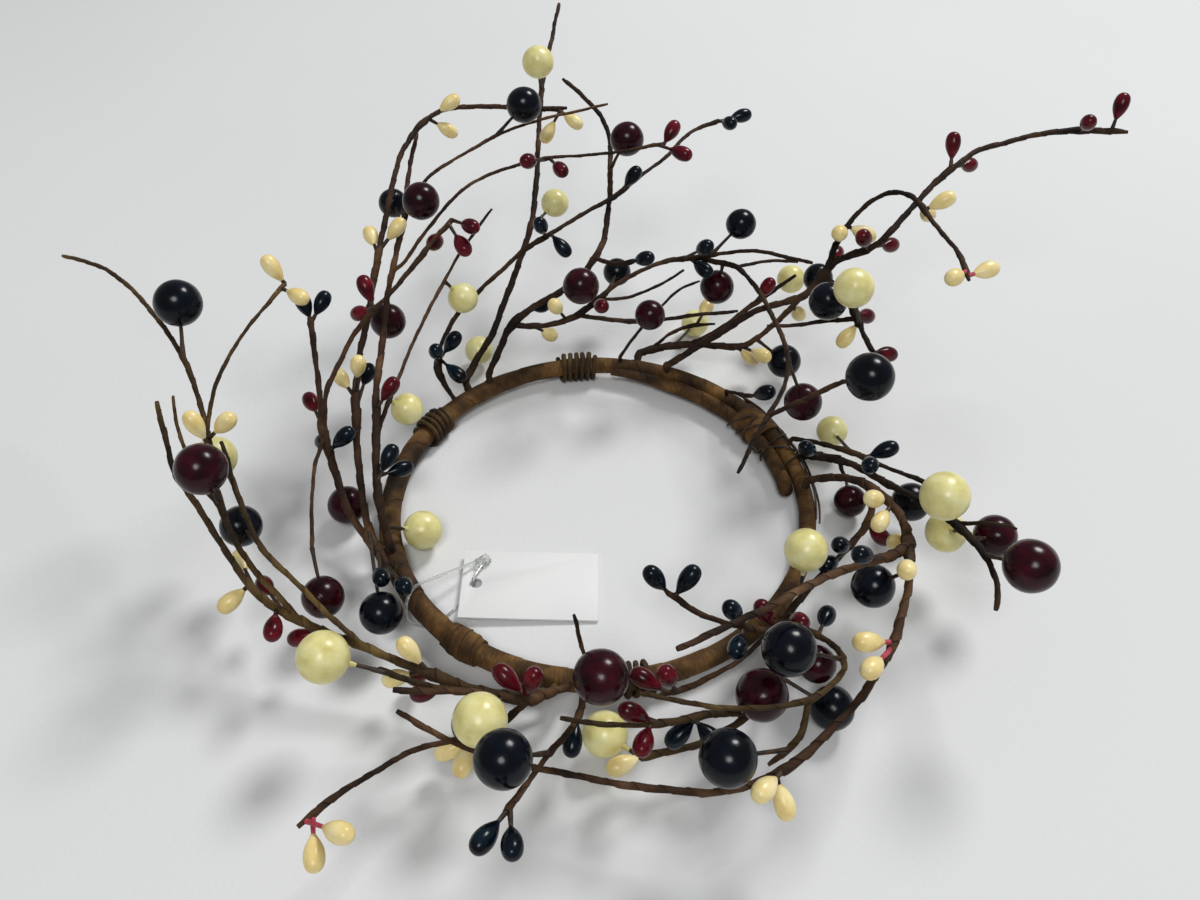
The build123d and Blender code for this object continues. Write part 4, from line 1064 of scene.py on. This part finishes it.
for spray, twigs in traced.items():
    paths = []
    for seed, twig in enumerate(twigs.values()):
        line = uneven(evenly([twig.anchor] + twig.samples, 0.5), seed)
        last = len(line) - 1
        taper = thick_taper if twig.radius > 1 else thin_taper
        radii = [
            width * (1 - taper * i / last) * min(1.0, tip_pinch + pinch_step * (last - i))
            for i, width in enumerate(swell(line, twig.radius * 1.08, 0.34, 2.6, seed))
        ]

        def sample_at(number):
            """Returns the sample of the uneven line that lies nearest to one of the twig's own."""
            return min(range(last + 1), key=lambda i: (line[i] - twig.samples[number]).length)

        for fork, radius in twig.knots:
            at = sample_at(fork)
            for i in range(max(0, at - knot_reach), min(last, at + knot_reach + 1)):
                nearness = math.cos((i - at) / (knot_reach + 1) * math.pi / 2)
                radii[i] *= 1 + knot_swelling * radius / twig.radius * nearness
        for number, extra in twig.ties:
            at = sample_at(number)
            for i in range(max(0, at - tie_reach), min(last, at + tie_end) + 1):
                reach = tie_reach + 1 if i <= at else tie_end + 1
                radii[i] += extra * (1 - abs(i - at) / reach)
        paths.append(lay_path(line, radii, 4.0 + twig.radius))
    twigs_piece = make_tubes(spray + "_taped_twigs", paths, fine_lap, spray_tapes.get(spray, twig_tape))
    dress(twigs_piece, "ring", "stem_tape", spray + "_stems")

# %% [markdown]
# ## Berries
# A berry is a foam ball dipped in lacquer, on a paper-covered wire. The lacquer draws in where the wire
# goes in and sets a little uneven. One ball is modelled, dimpled at its pole, and every berry is a copy of
# it, turned to face along its wire and joined to the others of its colour.

# %% One berry
berry_radii = {"large": 5.5, "medium": 4.9, "small": 4.2}
pole_height = -0.985

bpy.ops.mesh.primitive_uv_sphere_add(segments=40, ring_count=24, radius=1.0)
ball = bpy.context.object
ball.name = "one_berry"
bpy.ops.object.mode_set(mode="EDIT")
bpy.ops.mesh.select_all(action="DESELECT")
bpy.ops.object.mode_set(mode="OBJECT")
for face in ball.data.polygons:
    face.select = face.center.z < pole_height
bpy.ops.object.mode_set(mode="EDIT")
for step_width, step_depth in ((0.03, 0.045), (0.05, 0.08)):
    bpy.ops.mesh.inset(thickness=step_width)
    bpy.ops.transform.translate(value=(0, 0, step_depth))
bpy.ops.object.mode_set(mode="OBJECT")
shaped(ball, "uneven dip", "DISPLACE", texture=clouds("set lacquer", 0.9), strength=0.035, mid_level=1.0)
print("berry", len(ball.data.polygons), "faces")


# %% Copies
def stamp(name, master, spots, material, crisp=60.0):
    """Returns one piece of copies of a master, each given as (place, heading, size in millimetres)."""
    copies = []
    for spot, heading, size in spots:
        copy = master.copy()
        copy.data = master.data.copy()
        bpy.context.collection.objects.link(copy)
        turn = Vector((0, 0, 1)).rotation_difference(heading).to_matrix().to_4x4()
        spin = Matrix.Rotation(dice.uniform(0, math.tau), 4, "Z")
        copy.data.transform(Matrix.Translation(spot * mm) @ turn @ spin @ Matrix.Scale(size * mm, 4))
        copies.append(copy)
    take(*copies)
    if len(copies) > 1:
        bpy.ops.object.join()
    print(len(spots), "copies in", name)
    return finish(bpy.context.view_layer.objects.active, name, material, crisp)


# %% [markdown]
# ## Pips
# A pip is a teardrop of plastic on a thin taped neck. Its outline is drawn as a circle that is extruded
# upwards ring by ring and widened or narrowed at each step, which closes to a blunt tip.

# %% One pip
pip_length = 7.2
pip_lengths = (0.93, 1.0)
pip_radius = 2.1
pip_outline = [
    (0.00, 0.24), (0.09, 0.42), (0.19, 0.62), (0.30, 0.80), (0.42, 0.93), (0.52, 0.99), (0.61, 1.00),
    (0.72, 0.97), (0.82, 0.88), (0.90, 0.73), (0.96, 0.52), (0.99, 0.28), (1.00, 0.08),
]
pip_foot = pip_outline[0][1] * pip_radius / pip_length
bpy.ops.mesh.primitive_circle_add(vertices=20, radius=pip_foot, fill_type="NGON")
pip = bpy.context.object
pip.name = "one_pip"
bpy.ops.object.mode_set(mode="EDIT")
bpy.ops.mesh.select_all(action="SELECT")
for (z, r), (next_z, next_r) in zip(pip_outline, pip_outline[1:]):
    bpy.ops.mesh.extrude_region_move(TRANSFORM_OT_translate={"value": (0, 0, next_z - z)})
    bpy.ops.transform.resize(value=(next_r / r, next_r / r, 1), center_override=(0, 0, next_z))
bpy.ops.object.mode_set(mode="OBJECT")
close_up(pip)
print("pip", len(pip.data.polygons), "faces")

# %% [markdown]
# Berries and pips of one side of the ring and one colour are one piece, as they are in the frame, and all
# the thin wires of a spray are another.

# %% Berries, pips and their wires
stalk_bow = 0.12
stalk_roots, stalk_radius, stalk_taper = [0.62, 0.56], 0.46, 0.012
drip_step, drip_radius, drip_taper = 0.8, 0.95, 0.10
neck_radii = [0.58, 0.50, 0.40, 0.40]
groups = {
    "left": ("left_sweep", "left_outer", "left_inner"),
    "back": ("back_left", "back_middle", "back_right", "far_right"),
    "right": ("right", "front_right"),
    "front": ("front", "front_left"),
}


def bowed(start, end, bow):
    """Returns a short line that bows a little to one side between its ends."""
    side = (end - start).cross(Vector((0.3, 0.5, 0.8))).normalized() * bow
    return [start.lerp(end, i / 8) + side * math.sin(math.pi * i / 8) for i in range(9)]


red_necks = {("front_left", (312, 817)), ("far_right", (966, 272)), ("front_right", (895, 641))}

for side, names in groups.items():
    berries, pips, necks, stubs = {}, {}, {}, []
    for spray in names:
        twigs, wires = traced[spray], []
        for colour, size, carrier, spot, leaves_at in sprays[spray]["berries"]:
            twig, centre, radius = twigs[carrier], place(spot), berry_radii[size]
            leaves = twig.nearest(leaves_at)
            start = twig.seat(leaves, centre, wire_radius)
            heading = (centre - start).normalized()
            bow = bowed(start, centre - heading * radius * 0.4, stalk_bow)
            wires.append(lay_path(
                [twig.samples[leaves], start, *bow[1:]],
                stalk_roots + [stalk_radius - stalk_taper * i for i in range(len(bow) - 1)],
            ))
            berries.setdefault(colour, []).append((centre, heading, radius))
            if colour == "cream":
                steps = int((radius * 0.5 + 3 * drip_step) / drip_step)
                drip = [centre - heading * (radius * 0.5 + drip_step * i) for i in range(steps)]
                stubs.append(lay_path(drip, [drip_radius - drip_taper * i for i in range(steps)]))
        wire_piece = make_tubes(spray + "_berry_stalks", wires, plain_round, wire_paint)
        dress(wire_piece, "ring", "berry_wire", spray + "_berry_wires")
        for colour, carrier, leaves_at, spots in sprays[spray]["pips"]:
            twig = twigs[carrier]
            root = twig.nearest(leaves_at)
            for i, spot in enumerate(spots):
                leaves = twig.pip_sample(root, i)
                start = twig.seat(leaves, place(spot), neck_radii[-1])
                heading = (place(spot) - start).normalized()
                neck = max((place(spot) - start).length - pip_length / 2, 0.05)
                base = start + heading * neck
                line = [twig.samples[leaves], start, base, base + heading * 0.6]
                paint = red_paint if (spray, leaves_at) in red_necks else wire_paint
                necks.setdefault((colour, paint.name), []).append(lay_path(line, neck_radii))
                pips.setdefault(colour, []).append((base, heading, pip_length * dice.uniform(*pip_lengths)))
    for colour, spots in berries.items():
        berry_piece = stamp(f"{side}_{colour}_lacquered_berries", ball, spots, lacquers[colour])
        dress(berry_piece, "ring", colour + "_berry", f"{side}_{colour}_berries")
    for colour, spots in pips.items():
        pip_piece = stamp(f"{side}_{colour}_teardrop_pips", pip, spots, glazes[colour])
        dress(pip_piece, "ring", colour + "_pip", f"{side}_{colour}_pips")
    for (colour, paint_name), paths in necks.items():
        paint = bpy.data.materials[paint_name]
        neck_piece = make_tubes(f"{side}_{colour}_pip_necks", paths, plain_round, paint)
        dress(neck_piece, "ring", "berry_wire", f"{side}_{colour}_pips")
    stub_piece = make_tubes(f"{side}_berry_drips", stubs, plain_round, drip_lacquer)
    dress(stub_piece, "ring", "cream_berry", f"{side}_cream_berries")

# %% [markdown]
# ## Hang tag
# The tag is a bare white card on a moulded plastic loop. The loop is one clear filament: it goes round the
# hoop, up through the card's hole, and back into a small lock head.

# %% Loop
tag_bearing = 219.0
loop_core = on_hoop(tag_bearing)
inward = on_hoop(tag_bearing, -1, 0)
onward = on_hoop(tag_bearing + 90, 1, 0)


def by_loop(inwards, onwards, rise):
    """Returns a place given from the hoop's centre line at the tag, with its rise over the table."""
    return Vector((loop_core.x, loop_core.y, rise)) + inward * inwards + onward * onwards


filament = 0.35
on_table = 0.45
hole_reach = 14.0
loop_corners = 6
corner_reach = (tape_outer_radius + 0.45 + filament) / math.cos(math.radians(21))
lock_middle = by_loop(19.2, -3.2, 3.2)
lock_size = Vector((2.4, 3.4, 1.6))
lock_offset = 0.65
lock_edge = 0.0003
loop_places = [lock_middle - onward * lock_offset]
for i in range(loop_corners):
    angle = math.radians(75 + 42 * i)
    onwards = 3.6 * (2 * i / (loop_corners - 1) - 1)
    corner = by_loop(corner_reach * math.cos(angle), onwards, ring_rise + corner_reach * math.sin(angle))
    loop_places.append(corner)
loop_places += [by_loop(hole_reach - 2.4, 1.8, on_table), by_loop(hole_reach, 0, on_table)]
loop_places += [by_loop(hole_reach, 0, 4.0), lock_middle + onward * lock_offset]
loop_line = evenly(rounded(loop_places), 0.4)
loop_path = lay_path(loop_line, [filament] * len(loop_line))
loop = make_tubes("loop_filament", [loop_path], plain_round, clear_plastic)

bpy.ops.mesh.primitive_cube_add(size=1.0)
lock = bpy.context.object
lock_turn = Matrix(((onward.x, inward.x, 0), (onward.y, inward.y, 0), (0, 0, 1))).to_4x4()
lock_shape = Matrix.Diagonal((*(lock_size * mm), 1))
lock.data.transform(Matrix.Translation(lock_middle * mm) @ lock_turn @ lock_shape)
for face in lock.data.polygons:
    face.select = abs(face.normal.dot(inward)) > 0.9
bpy.ops.object.mode_set(mode="EDIT")
bpy.ops.mesh.inset(thickness=lock_edge)
bpy.ops.mesh.select_all(action="SELECT")
bpy.ops.mesh.normals_make_consistent(inside=False)
bpy.ops.object.mode_set(mode="OBJECT")
shaped(lock, "soft edges", "BEVEL", width=lock_edge, segments=3)
finish(lock, "loop_lock", clear_plastic, 40)
for piece in (loop, lock):
    dress(piece, "loop", "loop_plastic", "tag_loop")
print("loop", round(length_of(loop_line), 1), "mm of filament")

# %% Card
card_size = Vector((33.0, 20.0, 0.6))
hole_inset = 3.5
punch_radius = 1.4
card_tilt = math.radians(2.5)
card_hole = by_loop(hole_reach, 0, 1.5) + Vector((0.75, 0, 0))
tilted = Matrix.Translation(card_hole * mm) @ Matrix.Rotation(card_tilt, 4, "Y")
bpy.ops.mesh.primitive_cube_add(size=1.0)
card = bpy.context.object
offset = Vector((card_size.x / 2 - hole_inset, 0, card_size.z / 2)) * mm
card.data.transform(tilted @ Matrix.Translation(offset) @ Matrix.Diagonal((*(card_size * mm), 1)))
bpy.ops.mesh.primitive_cylinder_add(vertices=32, radius=punch_radius * mm, depth=10 * mm)
punch = bpy.context.object
punch.data.transform(tilted)
take(card)
shaped(card, "punched hole", "BOOLEAN", object=punch)
bpy.data.objects.remove(punch)
shaped(card, "cut edge", "BEVEL", width=0.00008, segments=2)
finish(card, "bare_card", white_card, 30)
dress(card, "tag", "tag_card", "hang_tag")
print("card", [round(x, 1) for x in card_size], "mm")

# %% [markdown]
# ## Tidying up
# The shapes that only helped are removed. What shows is measured, and its box is printed beside the frame's
# box.

# %% Finish
for helper in (fine_lap, broad_lap, plain_round, ball, pip):
    bpy.data.objects.remove(helper)

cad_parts["ring_wire"].data.materials.clear()
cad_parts["ring_wire"].data.materials.append(steel)

dressed_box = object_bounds()
for label, box in (("CAD box", cad_box), ("dressed box", dressed_box)):
    print(label, [[round(x * 1000, 2) for x in corner] for corner in box])
